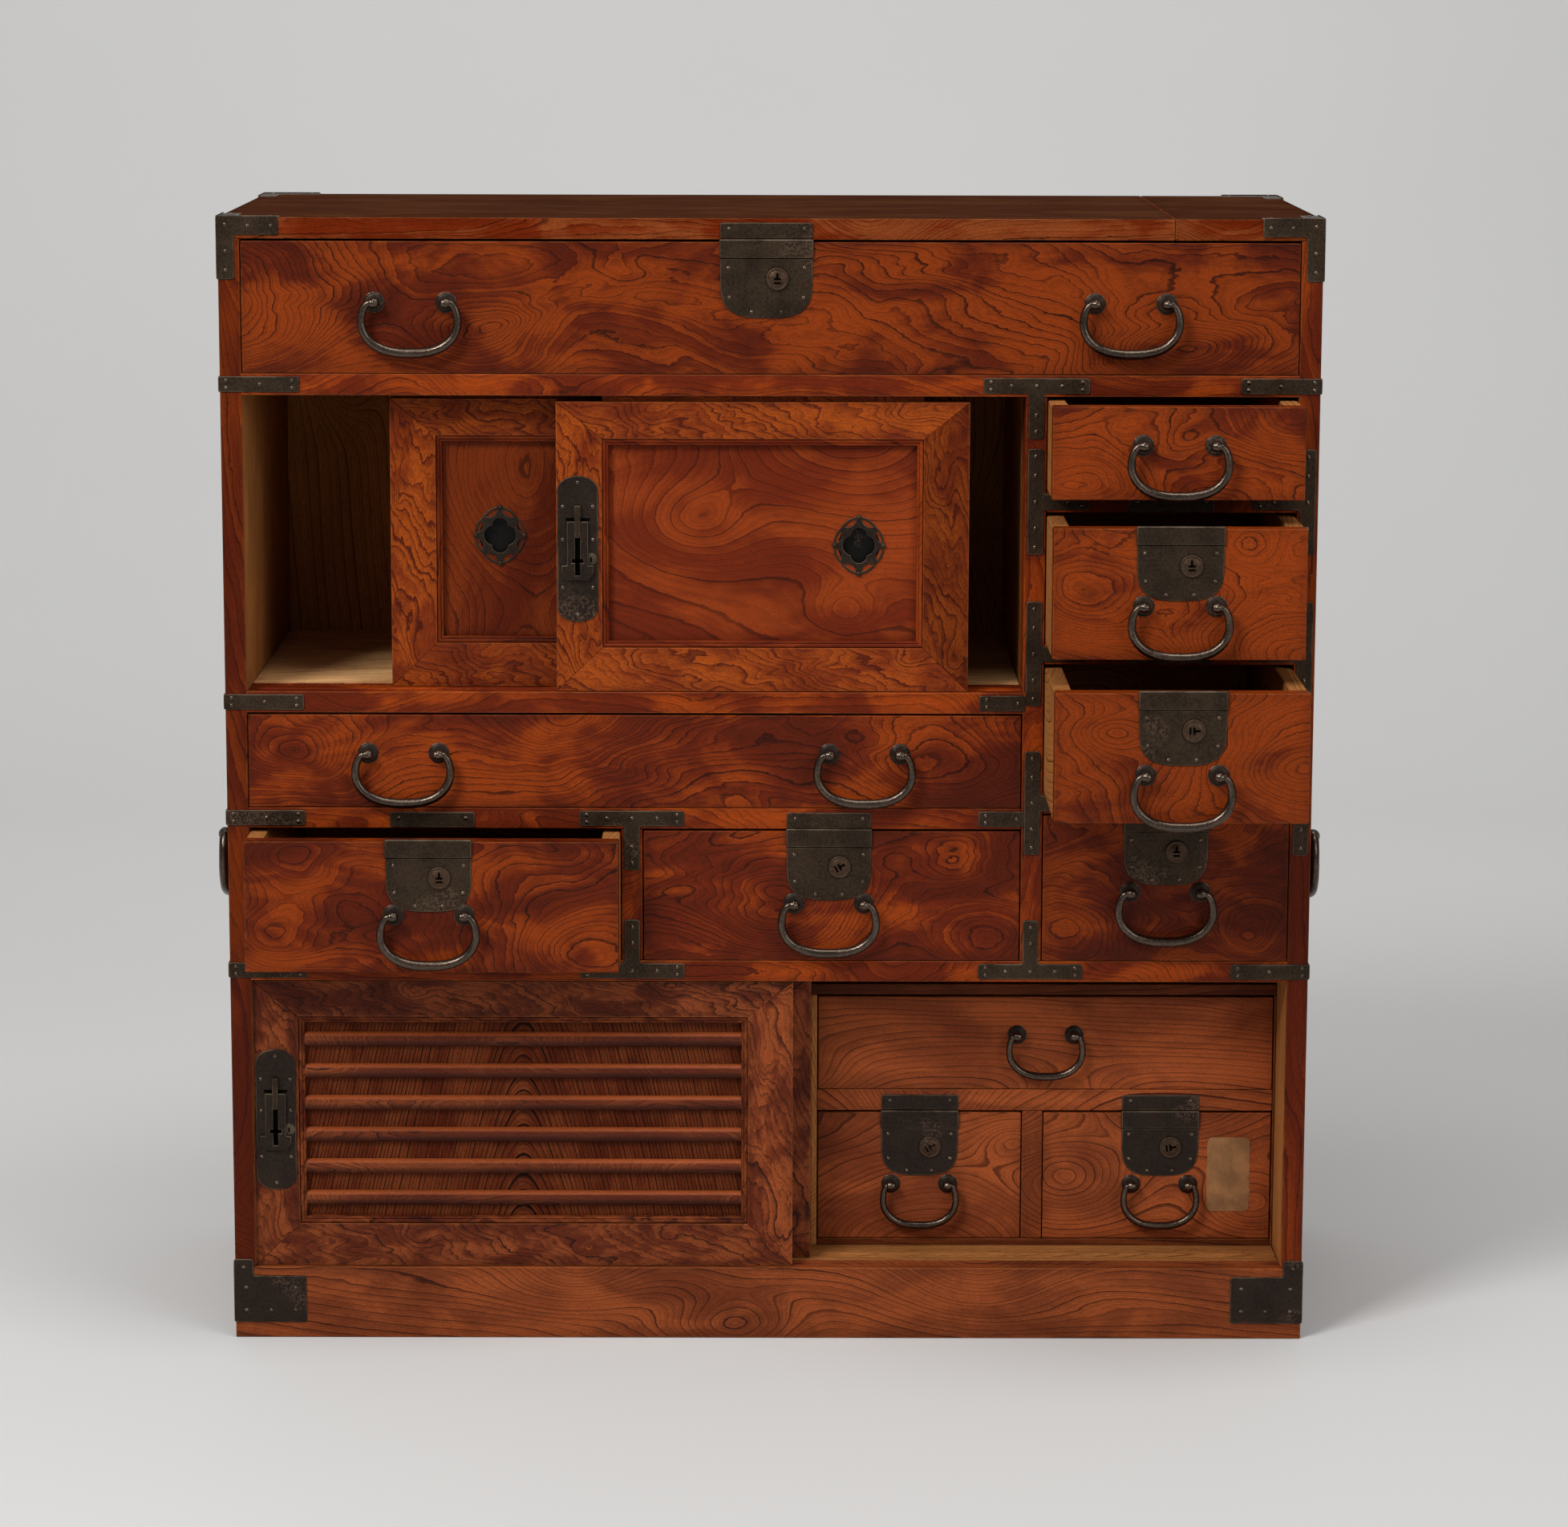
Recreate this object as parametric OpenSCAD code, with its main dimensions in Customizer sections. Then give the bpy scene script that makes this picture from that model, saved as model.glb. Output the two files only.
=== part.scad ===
// Japanese merchant's chest: drawers, two pairs of sliding doors and a nest of small drawers.
// Millimetres. The origin is on the floor under the middle of the case. X runs to the right as
// seen from the front, Y runs from the front to the back, and Z is up.

/* [Case] */
// Width of the case across its side boards
case_w = 870; // [820:1:920]
// Depth of the case from its front face to its back
case_d = 360; // [340:1:400]
// Thickness of each side board
side_t = 17; // [14:0.5:20]
// Thickness of the top board
top_t = 17; // [14:0.5:22]
// Height of every front rail
rail_t = 17; // [15:0.5:20]
// Depth of the front rails and posts
rail_d = 45; // [44:1:60]
// Width of every post between two bays
post_w = 17; // [15:0.5:20]
// Thickness of the softwood shelves behind the rails
shelf_t = 11; // [8:0.5:14]
// Thickness of the back boards
back_t = 8; // [6:0.5:12]
// Number of upright back boards
back_count = 6; // [4:1:8]
// Height of the base boards
base_h = 59; // [54:1:70]
// Thickness of the base's front board
base_t = 24; // [24:0.5:28]

/* [Bays] */
// Height of the top drawer's bay
top_drawer_h = 106; // [95:1:130]
// Height of the upper cupboard
cupboard_h = 237; // [225:1:260]
// Height of the wide drawer's bay
wide_drawer_h = 77; // [70:1:100]
// Height of the two twin drawers' bays
twin_drawer_h = 108; // [100:1:130]
// Height of the lower cupboard
lower_cupboard_h = 239; // [234:1:250]
// Width of the bays left of the drawer column
left_bay_w = 620; // [600:1:640]
// Width of the left twin drawer's bay
twin_left_w = 299; // [280:1:320]
// Height of column drawer 1's bay, the uppermost
column_h1 = 75; // [70:1:85]
// Height of column drawer 2's bay
column_h2 = 105; // [95:1:110]
// Height of column drawer 3's bay
column_h3 = 104; // [95:1:110]

/* [Inner cabinet] */
// Set-back of the inner cabinet behind the front face
inner_setback = 69; // [69:1:80]
// Width of the inner cabinet
inner_w = 383.6; // [370:0.1:400]
// Height of the inner cabinet
inner_h = 222; // [210:1:226]
// Height of its two lower drawers' bays
inner_low_h = 109; // [100:1:115]
// Height of its middle rail
inner_rail_t = 18; // [15:0.5:22]
// Width of its left lower drawer's bay
inner_left_w = 169.5; // [150:0.5:180]
// Width of its post
inner_post_w = 17; // [14:0.5:20]
// Thickness of its visible side board
inner_side_t = 5.2; // [4:0.1:8]
// Thickness of its liner against the case
inner_liner_t = 2; // [1.5:0.1:3]
// Thickness of its bottom board
inner_bottom_t = 6; // [5:0.5:8]
// Depth of its front rail and post
inner_rail_d = 24; // [18:1:30]

/* [Drawers] */
// Thickness of a main drawer's front
front_t = 17; // [15:0.5:20]
// Thickness of a main drawer's sides
drawer_side_t = 14; // [9:0.5:17]
// Thickness of an inner drawer's front
inner_front_t = 14; // [12:0.5:16]
// Thickness of an inner drawer's sides
inner_drawer_side_t = 9; // [7:0.5:12]
// Thickness of a drawer's bottom board
bottom_t = 7; // [5:0.5:9]
// Thickness of a drawer's back board
drawer_back_t = 9; // [7:0.5:12]
// How far column drawer 1 stands open
pull_1 = 65; // [0:1:100]
// How far column drawer 2 stands open
pull_2 = 92; // [0:1:120]
// How far column drawer 3 stands open
pull_3 = 137; // [0:1:160]
// How far the left twin drawer stands open
pull_twin = 50; // [0:1:100]
// Gap at each side of a drawer
side_gap = 0.8; // [0.5:0.1:1.2]
// Gap over a drawer
over_gap = 1.6; // [1:0.1:3]
// Gap under a drawer
under_gap = 0.35; // [0.3:0.05:0.6]
// Gap behind a closed drawer
stop_gap = 6; // [3:0.5:12]

/* [Doors] */
// Width of an upper door
upper_door_w = 328.2; // [318:0.1:340]
// Left edge of the upper front door from the middle of the case
upper_front_x = -170; // [-180:1:-150]
// Left edge of the upper rear door from the middle of the case
upper_rear_x = -303.5; // [-320:0.5:-290]
// Width of a lower door
lower_door_w = 437.3; // [425:0.1:445]
// How far the lower rear door stands from the left side board
lower_rear_open = 15; // [5:1:20]
// Thickness of every sliding door
door_t = 20; // [18:0.5:20]
// Set-back of the upper front door behind the front face
upper_setback = 3; // [2:0.5:4]
// Set-back of the lower front door behind the front face
lower_setback = 5; // [4:0.5:5]
// Gap between the front and rear door of a pair
door_pair_gap = 4.5; // [4:0.5:6]
// Width of a door's stiles
stile_w = 36.5; // [32:0.5:42]
// Height of a door's top rail
door_top_h = 29.5; // [26:0.5:34]
// Height of a door's bottom rail
door_bottom_h = 35; // [30:0.5:40]
// Thickness of a door's panel
panel_t = 6; // [5:0.5:8]
// Set-back of a panel behind its frame's face
panel_setback = 8; // [7:0.5:9]
// Width of the moulding round a panel
moulding_w = 5; // [4:0.5:7]
// Gap over an upper door's frame, where its tongue shows
upper_door_gap = 5; // [3:0.5:6]
// Gap over a lower door's frame
lower_door_gap = 1.5; // [1:0.5:3]
// Thickness of the tongues that run in the grooves
tongue_t = 8; // [6:0.5:9]
// Depth of the grooves under the doors
sill_groove = 3; // [2:0.5:4]
// Depth of the grooves over the doors
head_groove = 9; // [7:0.5:10]
// Number of slats on a lower door
slat_count = 6; // [4:1:6]
// Height of a slat
slat_h = 12; // [9:0.5:14]
// Distance from one slat to the next
slat_pitch = 26.5; // [24:0.5:27]

/* [Handles] */
// Width of a main drawer's bail
bail_w = 82.5; // [76:0.5:88]
// Distance between a main bail's two eyes
bail_pins = 56.5; // [52:0.5:60]
// Drop of a main bail from its eyes to its lowest edge
bail_drop = 43.5; // [38:0.5:48]
// Width of an inner drawer's bail
small_bail_w = 65.5; // [60:0.5:70]
// Distance between an inner bail's two eyes
small_bail_pins = 47; // [42:0.5:50]
// Drop of an inner bail
small_bail_drop = 37; // [32:0.5:40]
// Width of a side carrying bail
side_bail_w = 112; // [100:1:125]
// Distance between a side bail's two eyes
side_bail_pins = 80; // [72:1:88]
// Drop of a side bail
side_bail_drop = 58; // [50:1:66]
// Height of the side bails' eyes above the floor
side_bail_z = 392; // [360:1:600]
// Radius of a side bail's ends where they turn in their eyes
side_pin_r = 2.82; // [2.6:0.01:2.84]
// Radius of the hole in a side bail's eye
side_eye_r = 2.9; // [2.85:0.01:2.92]
// Radius of a bail's ends where they turn in the eyes
pin_r = 1.82; // [1.6:0.01:1.84]
// Radius of the hole in an eye
eye_r = 1.9; // [1.85:0.01:1.92]
// Radius of the wire of a split pin's eye
eye_wire = 1; // [0.8:0.1:1.2]
// Radius of the domed washer under an eye
washer_r = 8.4; // [7:0.1:10]

/* [Locks and irons] */
// Thickness of the iron plates
plate_t = 1.2; // [0.8:0.1:1.6]
// Width of the straps and T plates
strap_w = 12.5; // [10:0.5:14]
// Length of a T plate across its head
tee_len = 84.5; // [70:0.5:90]
// Height of a lock's raised band at the drawer's top edge
band_h = 13; // [10:0.5:15]
// Thickness of that band
band_t = 3; // [2:0.1:3.2]
// Drop of a keyhole disc's centre below the drawer's top edge
disc_drop = 29; // [27:0.5:32]
// Distance of a disc's centre to the right of its plate's middle
disc_side = 8.6; // [6:0.1:10]
// Radius of a keyhole disc
disc_r = 9.1; // [8:0.1:10]
// Thickness of a keyhole disc
disc_t = 1.7; // [1.2:0.1:2]
// Radius of the neck that turns in a lock plate
neck_r = 4; // [3:0.1:4.5]
// Radial clearance of that neck in its plate
neck_fit = 0.06; // [0.03:0.01:0.1]
// Width of a sliding door's lock plate
door_lock_w = 32.5; // [28:0.5:34]
// Height of a sliding door's lock plate
door_lock_h = 117; // [100:1:130]
// Diameter of a finger pull across its ring
pull_d = 50; // [44:1:54]

/* [Hidden] */
$fn = 48;

keyaki = "sienna";
softwood = "burlywood";
iron = "dimgray";

// The seam left between two boards of one sub-part, and the air under a nail's head
seam = 0.2;
hair = 0.02;

// Levels of the case from the floor up, and its inner faces
front_y = -case_d / 2;
rear_y = case_d / 2 - back_t;
in_x = case_w / 2 - side_t;
low_z0 = base_h;
low_z1 = low_z0 + lower_cupboard_h;
twin_z0 = low_z1 + rail_t;
twin_z1 = twin_z0 + twin_drawer_h;
wide_z0 = twin_z1 + rail_t;
wide_z1 = wide_z0 + wide_drawer_h;
cup_z0 = wide_z1 + rail_t;
cup_z1 = cup_z0 + cupboard_h;
top_z0 = cup_z1 + rail_t;
top_z1 = top_z0 + top_drawer_h;
case_h = top_z1 + top_t;

// Width of the bearer under the floor board
bearer_w = 40;

// Posts between the bays
post_x0 = -in_x + left_bay_w;
post_x1 = post_x0 + post_w;
post_x = (post_x0 + post_x1) / 2;
twin_x0 = -in_x + twin_left_w;
twin_x1 = twin_x0 + post_w;
twin_x = (twin_x0 + twin_x1) / 2;

// Undersides of column drawers 1 to 3
col_z1 = cup_z1 - column_h1;
col_z2 = col_z1 - rail_t - column_h2;
col_z3 = col_z2 - rail_t - column_h3;
column_rails = [col_z1, col_z2, col_z3];

// Levels and faces of the inner cabinet
inner_y = front_y + inner_setback;
inner_back_t = 4;
inner_back_y = rear_y - seam;
inner_x0 = in_x - inner_w;
inner_in_x0 = inner_x0 + inner_side_t;
inner_in_x1 = in_x - inner_liner_t;
inner_z0 = low_z0 + inner_bottom_t;
inner_z1 = inner_z0 + inner_low_h;
inner_z2 = inner_z1 + inner_rail_t;
inner_top_t = 9;
inner_z3 = low_z0 + inner_h - inner_top_t;
inner_post_x0 = inner_in_x0 + inner_left_w;
inner_post_x1 = inner_post_x0 + inner_post_w;
inner_shelf_t = 8;

// A bay is [left, bottom, right, top] of the space that a drawer fills
top_bay = [-in_x, top_z0, in_x, top_z1];
wide_bay = [-in_x, wide_z0, post_x0, wide_z1];
twin_left_bay = [-in_x, twin_z0, twin_x0, twin_z1];
twin_right_bay = [twin_x1, twin_z0, post_x0, twin_z1];
column_bays = [
  [post_x1, col_z1, in_x, cup_z1],
  [post_x1, col_z2, in_x, col_z1 - rail_t],
  [post_x1, col_z3, in_x, col_z2 - rail_t],
  [post_x1, twin_z0, in_x, col_z3 - rail_t]
];
inner_top_bay = [inner_in_x0, inner_z2, inner_in_x1, inner_z3];
inner_left_bay = [inner_in_x0, inner_z0, inner_post_x0, inner_z1];
inner_right_bay = [inner_post_x1, inner_z0, inner_in_x1, inner_z1];
function mid_x(bay) = (bay[0] + bay[2]) / 2;

// Drops of the handles' eyes below their drawers' top edges, and their places along X
top_handle_drop = 48;
top_handle_x = 284;
wide_handle_drop = 31;
wide_handle_x = [-293, 76];
twin_handle_drop = 59;
twin_handle_x = [-270.5, 47.8];
column_handle_drops = [30, 60.5, 64, 62];
inner_top_handle_drop = 32;
inner_handle_drop = 60.5;

// Lock plates as [width, height], and their places along X
top_lock = [73, 60];
main_lock = [68, 56.5];
inner_lock = [63.5, 53.5];
top_lock_x = -3.4;
inner_left_lock = 85;
inner_right_lock = 92.5;
inner_lock_x = [inner_in_x0 + inner_left_lock, inner_in_x1 - inner_right_lock];

// How a drawer is built: main or inner
function depth_of(inner) = inner ? inner_back_y - inner_back_t - stop_gap - inner_y
                                 : rear_y - stop_gap - front_y;
function face_y(inner) = inner ? inner_y : front_y;
function front_of(inner) = inner ? inner_front_t : front_t;
function side_of(inner) = inner ? inner_drawer_side_t : drawer_side_t;

// The step from a bail's round end to its bar, and the bead that keeps the end in its eye
shoulder = 0.35;
bead_step = 0.7;

// Stand-off of a bail's eyes from the face that they stand on
eye_out = 10;
small_eye_out = 8.6;
side_eye_out = 18.3;
side_eye_wire = 1.6;
leg_r = 1.5;
leg_hole_r = 1.7;
washer_h = 2.9;

// The lock case let into a drawer front from behind, its bolt, and its pocket's clearance
lock_case = [44, 7, 30];
lock_case_drop = 14;
bolt = [12, 4, 12];
pocket_gap = 0.3;
neck_hole_r = neck_r + 0.5;

// Sliding doors: faces, grooves and lifts
groove_w = tongue_t + 1;
door_pitch = door_t + door_pair_gap;
door_lift = 0.5;
upper_grooves = [for (i = [0, 1]) upper_setback + door_t / 2 + i * door_pitch];
lower_grooves = [for (i = [0, 1]) lower_setback + door_t / 2 + i * door_pitch];
lintel_d = lower_grooves[1] + groove_w / 2 + 4;
tongue_play = 1;
lower_front_x = -in_x;
lower_rear_x = -in_x + lower_rear_open;

// Places of the door irons along X and Z: a pull's middle from its door's left edge, and the heights
// of all of them over their cupboard's floor
front_pull_x = 240.7;
front_pull_z = 117;
rear_pull_x = 87;
rear_pull_z = 121.6;
upper_lock_z = 114.7;
lower_lock_z = 122.4;
upper_lock_at = [upper_front_x + stile_w / 2 - 1.2, cup_z0 + upper_lock_z];
lower_lock_at = [lower_front_x + stile_w / 2 - 0.5, low_z0 + lower_lock_z];
front_pull_at = [upper_front_x + front_pull_x, cup_z0 + front_pull_z];
rear_pull_at = [upper_rear_x + rear_pull_x, cup_z0 + rear_pull_z];
cup_d = 33;
cup_t = 1;
cup_depth = 5.6;
hasp_t = 2.4;
lock_disc_t = 0.6;

// Plain helpers

module block(low, high) {
  translate(low) cube(high - low);
}

// Stands an outline drawn in X and Z upright, with its face at y and its thickness behind it
module upright(y, thickness) {
  translate([0, y + thickness, 0]) rotate([90, 0, 0]) linear_extrude(thickness) children();
}

function unit(v) = v / norm(v);

// Eases each corner of an outline with a short curve that starts r before the corner
function eased(pts, r, steps = 4) = [
  for (i = [0:len(pts) - 1])
    let (p = pts[i], a = pts[(i + len(pts) - 1) % len(pts)], b = pts[(i + 1) % len(pts)])
    let (from = p + unit(a - p) * min(r, norm(a - p) / 2))
    let (to = p + unit(b - p) * min(r, norm(b - p) / 2))
    for (k = [0:steps])
      let (t = k / steps)
      (1 - t) * (1 - t) * from + 2 * t * (1 - t) * p + t * t * to
];

function oblong(x0, z0, x1, z1) = [[x0, z0], [x1, z0], [x1, z1], [x0, z1]];

// A nail's domed head on a face that looks to the front
module nail(x, z, y) {
  translate([x, y - hair, z]) rotate([90, 0, 0]) cylinder(h = 0.8, r1 = 1.7, r2 = 0.8);
}

// An iron plate nailed flat on a face that looks to the front
module plate(y, pts, nails, r = 2.5) {
  upright(y - plate_t, plate_t) polygon(eased(pts, r));
  for (n = nails) nail(n[0], n[1], y - plate_t);
}

// Case

module top_board() color(keyaki) {
  block([-case_w / 2, front_y, top_z1], [case_w / 2, case_d / 2, case_h]);
}

module side_boards() color(keyaki) {
  for (s = [0, 1]) mirror([s, 0, 0])
    block([in_x, front_y, base_h], [case_w / 2, case_d / 2, top_z1]);
}

// Outline in Y and Z of a board with two door grooves in its upper or lower face
function grooved(d, z0, z1, grooves, depth, up) = let (h = groove_w / 2)
  up ? concat(
    [[0, z0], [d, z0], [d, z1]],
    [for (i = [len(grooves) - 1:-1:0]) each [[grooves[i] + h, z1], [grooves[i] + h, z1 - depth],
      [grooves[i] - h, z1 - depth], [grooves[i] - h, z1]]],
    [[0, z1]])
  : concat(
    [[0, z1], [0, z0]],
    [for (g = grooves) each [[g - h, z0], [g - h, z0 + depth], [g + h, z0 + depth], [g + h, z0]]],
    [[d, z0], [d, z1]]);

// Runs an outline in Y and Z along X, with its first Y at the front face
module moulded(x0, x1, y, pts) {
  translate([x0, y, 0]) rotate([90, 0, 90]) linear_extrude(x1 - x0) polygon(pts);
}

module rail(x0, x1, z0) {
  block([x0, front_y, z0], [x1, front_y + rail_d, z0 + rail_t]);
}

// The shelf behind a rail, level with the rail's upper face
module shelf(x0, x1, z1, from = rail_d) {
  block([x0, front_y + from + seam, z1 - shelf_t], [x1, rear_y, z1]);
}

// A post and the partition board behind it, between two levels
module post(x0, x1, z0, z1, z1_rear) {
  block([x0, front_y, z0 + seam], [x1, front_y + rail_d, z1 - seam]);
  block([x0, front_y + rail_d + seam, z0 + seam], [x1, rear_y, z1_rear - seam]);
}

module frame_and_base() color(keyaki) {
  base_frame();
  sill_and_floor();
  moulded(-in_x, in_x, front_y,
    grooved(lintel_d, low_z1, twin_z0, lower_grooves, head_groove, false));
  shelf(-in_x, in_x, twin_z0, lintel_d);
  rail(-in_x, post_x0 - seam, twin_z1);
  shelf(-in_x, post_x0 - seam, wide_z0);
  moulded(-in_x, post_x0 - seam, front_y,
    grooved(rail_d, wide_z1, cup_z0, upper_grooves, sill_groove, true));
  shelf(-in_x, post_x0 - seam, cup_z0);
  moulded(-in_x, in_x, front_y,
    grooved(rail_d, cup_z1, top_z0, upper_grooves, head_groove, false));
  shelf(-in_x, in_x, top_z0);
  for (z = column_rails) {
    rail(post_x1 + seam, in_x, z - rail_t);
    shelf(post_x1 + seam, in_x, z);
  }
  post(post_x0, post_x1, twin_z0, cup_z1, top_z0 - shelf_t);
  post(twin_x0, twin_x1, twin_z0, twin_z1, wide_z0 - shelf_t);
}

// The four boards of the base and the bearer under the middle of the floor board; the front one
// carries the groove of the lower front door
module base_frame() {
  rear_t = side_t;
  moulded(-case_w / 2, case_w / 2, front_y,
    grooved(base_t, 0, base_h, [lower_grooves[0]], sill_groove, true));
  block([-case_w / 2, case_d / 2 - rear_t, 0], [case_w / 2, case_d / 2, base_h]);
  for (s = [0, 1]) mirror([s, 0, 0])
    block([in_x, front_y + base_t + seam, 0], [case_w / 2, case_d / 2 - rear_t - seam, base_h]);
  block([-bearer_w / 2, front_y + base_t + seam, 0],
    [bearer_w / 2, case_d / 2 - rear_t - seam, low_z0 - rail_t - seam]);
}

// The lower cupboard's sill, with the groove of its rear door, and its floor board
module sill_and_floor() {
  sill_y0 = base_t + seam;
  groove = lower_grooves[1] - sill_y0;
  moulded(-in_x + seam, in_x - seam, front_y + sill_y0,
    grooved(lintel_d - sill_y0, low_z0 - rail_t, low_z0, [groove], sill_groove, true));
  block([-in_x + seam, front_y + lintel_d + seam, low_z0 - shelf_t],
    [in_x - seam, case_d / 2 - side_t - seam, low_z0]);
}

module back_boards() color(softwood) {
  step = 2 * in_x / back_count;
  for (i = [0:back_count - 1])
    block([-in_x + i * step + (i > 0 ? seam : 0), rear_y, low_z0],
      [-in_x + (i + 1) * step, case_d / 2, top_z1]);
}

module inner_cabinet() color(softwood) {
  y1 = inner_back_y - inner_back_t - seam;
  block([inner_x0, inner_y, low_z0], [inner_in_x0, inner_back_y, inner_z3 - seam]);
  block([inner_in_x1, inner_y, low_z0], [in_x, inner_back_y, inner_z3 - seam]);
  block([inner_in_x0 + seam, inner_y, low_z0], [inner_in_x1 - seam, y1, inner_z0]);
  block([inner_x0, inner_y, inner_z3], [in_x, inner_back_y, inner_z3 + inner_top_t]);
  block([inner_in_x0 + seam, y1 + seam, low_z0],
    [inner_in_x1 - seam, inner_back_y, inner_z3 - seam]);
  block([inner_in_x0 + seam, inner_y, inner_z1],
    [inner_in_x1 - seam, inner_y + inner_rail_d, inner_z2]);
  block([inner_in_x0 + seam, inner_y + inner_rail_d + seam, inner_z2 - inner_shelf_t],
    [inner_in_x1 - seam, y1, inner_z2]);
  block([inner_post_x0, inner_y, inner_z0 + seam],
    [inner_post_x1, inner_y + inner_rail_d, inner_z1 - seam]);
  block([inner_post_x0, inner_y + inner_rail_d + seam, inner_z0 + seam],
    [inner_post_x1, y1, inner_z2 - inner_shelf_t - seam]);
}

// Case irons

corner_len = 48;
corner_drop = 49;
corner_w = 14;
wrap_len = 48;
base_iron = [58, 39];
base_iron_z = 12.7;
base_tab = [15, 14];

module case_irons() color(iron) {
  for (s = [0, 1]) mirror([s, 0, 0]) {
    top_corner();
    mirror([0, 1, 0]) top_corner();
    base_corner();
    mirror([0, 1, 0]) base_corner();
    rail_strap(top_z0 - rail_t / 2);
    rail_strap(twin_z0 - rail_t / 2);
  }
  for (z = [cup_z0, wide_z0]) mirror([1, 0, 0]) rail_strap(z - rail_t / 2);
  for (z = column_rails) stile_tee(z - rail_t / 2);
  post_plates();
  strike_plates();
  side_handle_eyes();
}

// The iron over a front top corner: an L on the front, an L on the top and a flap on the side
module top_corner() {
  x1 = case_w / 2;
  z1 = case_h;
  leg = corner_w - 1;
  plate(front_y, [[x1, z1], [x1 - corner_len, z1], [x1 - corner_len, z1 - corner_w],
    [x1 - leg, z1 - corner_w], [x1 - leg, z1 - corner_drop], [x1, z1 - corner_drop]],
    [[x1 - 6, z1 - 6], [x1 - 24, z1 - 7], [x1 - corner_len + 6, z1 - 7],
      [x1 - 6, z1 - corner_drop + 7]], 1.5);
  translate([0, 0, z1]) linear_extrude(plate_t) polygon(eased([[x1, front_y - plate_t],
    [x1, front_y + wrap_len], [x1 - corner_w, front_y + wrap_len], [x1 - corner_w, front_y + corner_w],
    [x1 - corner_len, front_y + corner_w], [x1 - corner_len, front_y - plate_t]], 1.5));
  side_flap(z1 - corner_drop, z1 + plate_t, corner_w);
  side_flap(z1 - corner_w, z1 + plate_t, wrap_len);
}

// An iron flap bent round a front edge onto the right side of the case
module side_flap(z0, z1, length) {
  block([case_w / 2, front_y - plate_t, z0], [case_w / 2 + plate_t, front_y + length, z1]);
}

module base_corner() {
  x1 = case_w / 2;
  z0 = base_iron_z;
  z1 = z0 + base_iron[1];
  plate(front_y, [[x1, z0], [x1, z1 + base_tab[1]], [x1 - base_tab[0], z1 + base_tab[1]],
    [x1 - base_tab[0], z1], [x1 - base_iron[0], z1], [x1 - base_iron[0], z0]],
    [[x1 - 7, z1 + 7], [x1 - 9, z1 - 10], [x1 - base_iron[0] + 9, z1 - 10],
      [x1 - 9, z0 + 10], [x1 - base_iron[0] / 2, z0 + 10], [x1 - base_iron[0] + 9, z0 + 10]], 1.5);
  side_flap(z0, z1, base_iron[0]);
}

// A strap on the end of a rail at the right, bent round onto the side
module rail_strap(z) {
  length = 63;
  h = strap_w / 2;
  x1 = case_w / 2;
  nails = [[5, 3], [5, -3], [length / 2, 0], [length - 6, 3], [length - 6, -3]];
  plate(front_y, oblong(x1 - length, z - h, x1, z + h), [for (n = nails) [x1 - n[0], z + n[1]]], 1.5);
  side_flap(z - h, z + h, 40);
}

// A T plate from a stile's middle onto a column rail
module stile_tee(z) {
  x = case_w / 2 - side_t / 2;
  tee_plate(x, z, -1, 44);
}

// A T plate with an upright head and an arm to the left (-1) or right (1)
module tee_plate(x, z, side, arm) {
  h = strap_w / 2;
  l = tee_len / 2;
  pts = [[-h, -l], [h, -l], [h, -h], [arm, -h], [arm, h], [h, h], [h, l], [-h, l]];
  nails = [[0, -l + 6], [0, -l / 2], [0, 0], [0, l / 2], [0, l - 6], [arm - 6, 3], [arm - 6, -3]];
  plate(front_y, side_of_plate(pts, x, z, side), side_of_plate(nails, x, z, side));
}

function side_of_plate(pts, x, z, side) =
  [for (p = side > 0 ? pts : reversed(pts)) [x + side * p[0], z + p[1]]];
function reversed(pts) = [for (i = [len(pts) - 1:-1:0]) pts[i]];

// A T plate with a level head on a rail and a stem down (-1) or up (1) a post
module head_plate(x, z, way) {
  h = strap_w / 2;
  l = tee_len / 2;
  stem = 48.5 - h;
  pts = [[-l, -h], [-h, -h], [-h, -stem], [h, -stem], [h, -h], [l, -h], [l, h], [-l, h]];
  nails = [[-l + 6, 3], [-l + 6, -3], [0, 0], [l - 6, 3], [l - 6, -3], [0, -stem + 6], [0, -stem / 2 - 4]];
  turned = way < 0 ? pts : reversed(pts);
  plate(front_y, [for (p = turned) [x + p[0], z - way * p[1]]],
    [for (n = nails) [x + n[0], z - way * n[1]]]);
}

module post_plates() {
  h = strap_w / 2;
  head_plate(post_x, top_z0 - rail_t / 2, -1);
  tee_plate(post_x, col_z1 - rail_t / 2, 1, 43);
  tee_plate(post_x, col_z2 - rail_t / 2, 1, 43);
  tee_plate(post_x, col_z3 - rail_t / 2, 1, 43);
  head_plate(post_x, twin_z0 - rail_t / 2, 1);
  head_plate(twin_x, wide_z0 - rail_t / 2, -1);
  head_plate(twin_x, twin_z0 - rail_t / 2, 1);
  for (z = [cup_z0 - rail_t / 2, wide_z0 - rail_t / 2])
    plate(front_y, oblong(post_x - 43, z - h, post_x - h - seam, z + h),
      [[post_x - 37, z + 3], [post_x - 37, z - 3], [post_x - 12, z]]);
}

// The plates on the rails over the locks
module strike_plates() {
  strike(front_y, top_lock_x, top_z1, top_lock[0]);
  strike(front_y, twin_handle_x[0], twin_z1, main_lock[0]);
  strike(front_y, twin_handle_x[1], twin_z1, main_lock[0]);
  for (i = [1:3]) strike(front_y, mid_x(column_bays[i]), column_bays[i][3], main_lock[0]);
  for (x = inner_lock_x) strike(inner_y, x, inner_z1, inner_lock[0]);
}

module strike(y, x, z, w) {
  h = 12.5;
  plate(y, oblong(x - w / 2, z + 1, x + w / 2, z + 1 + h),
    [[x - w / 2 + 7, z + 8], [x + w / 2 - 7, z + 8]], 1.5);
}

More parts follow.
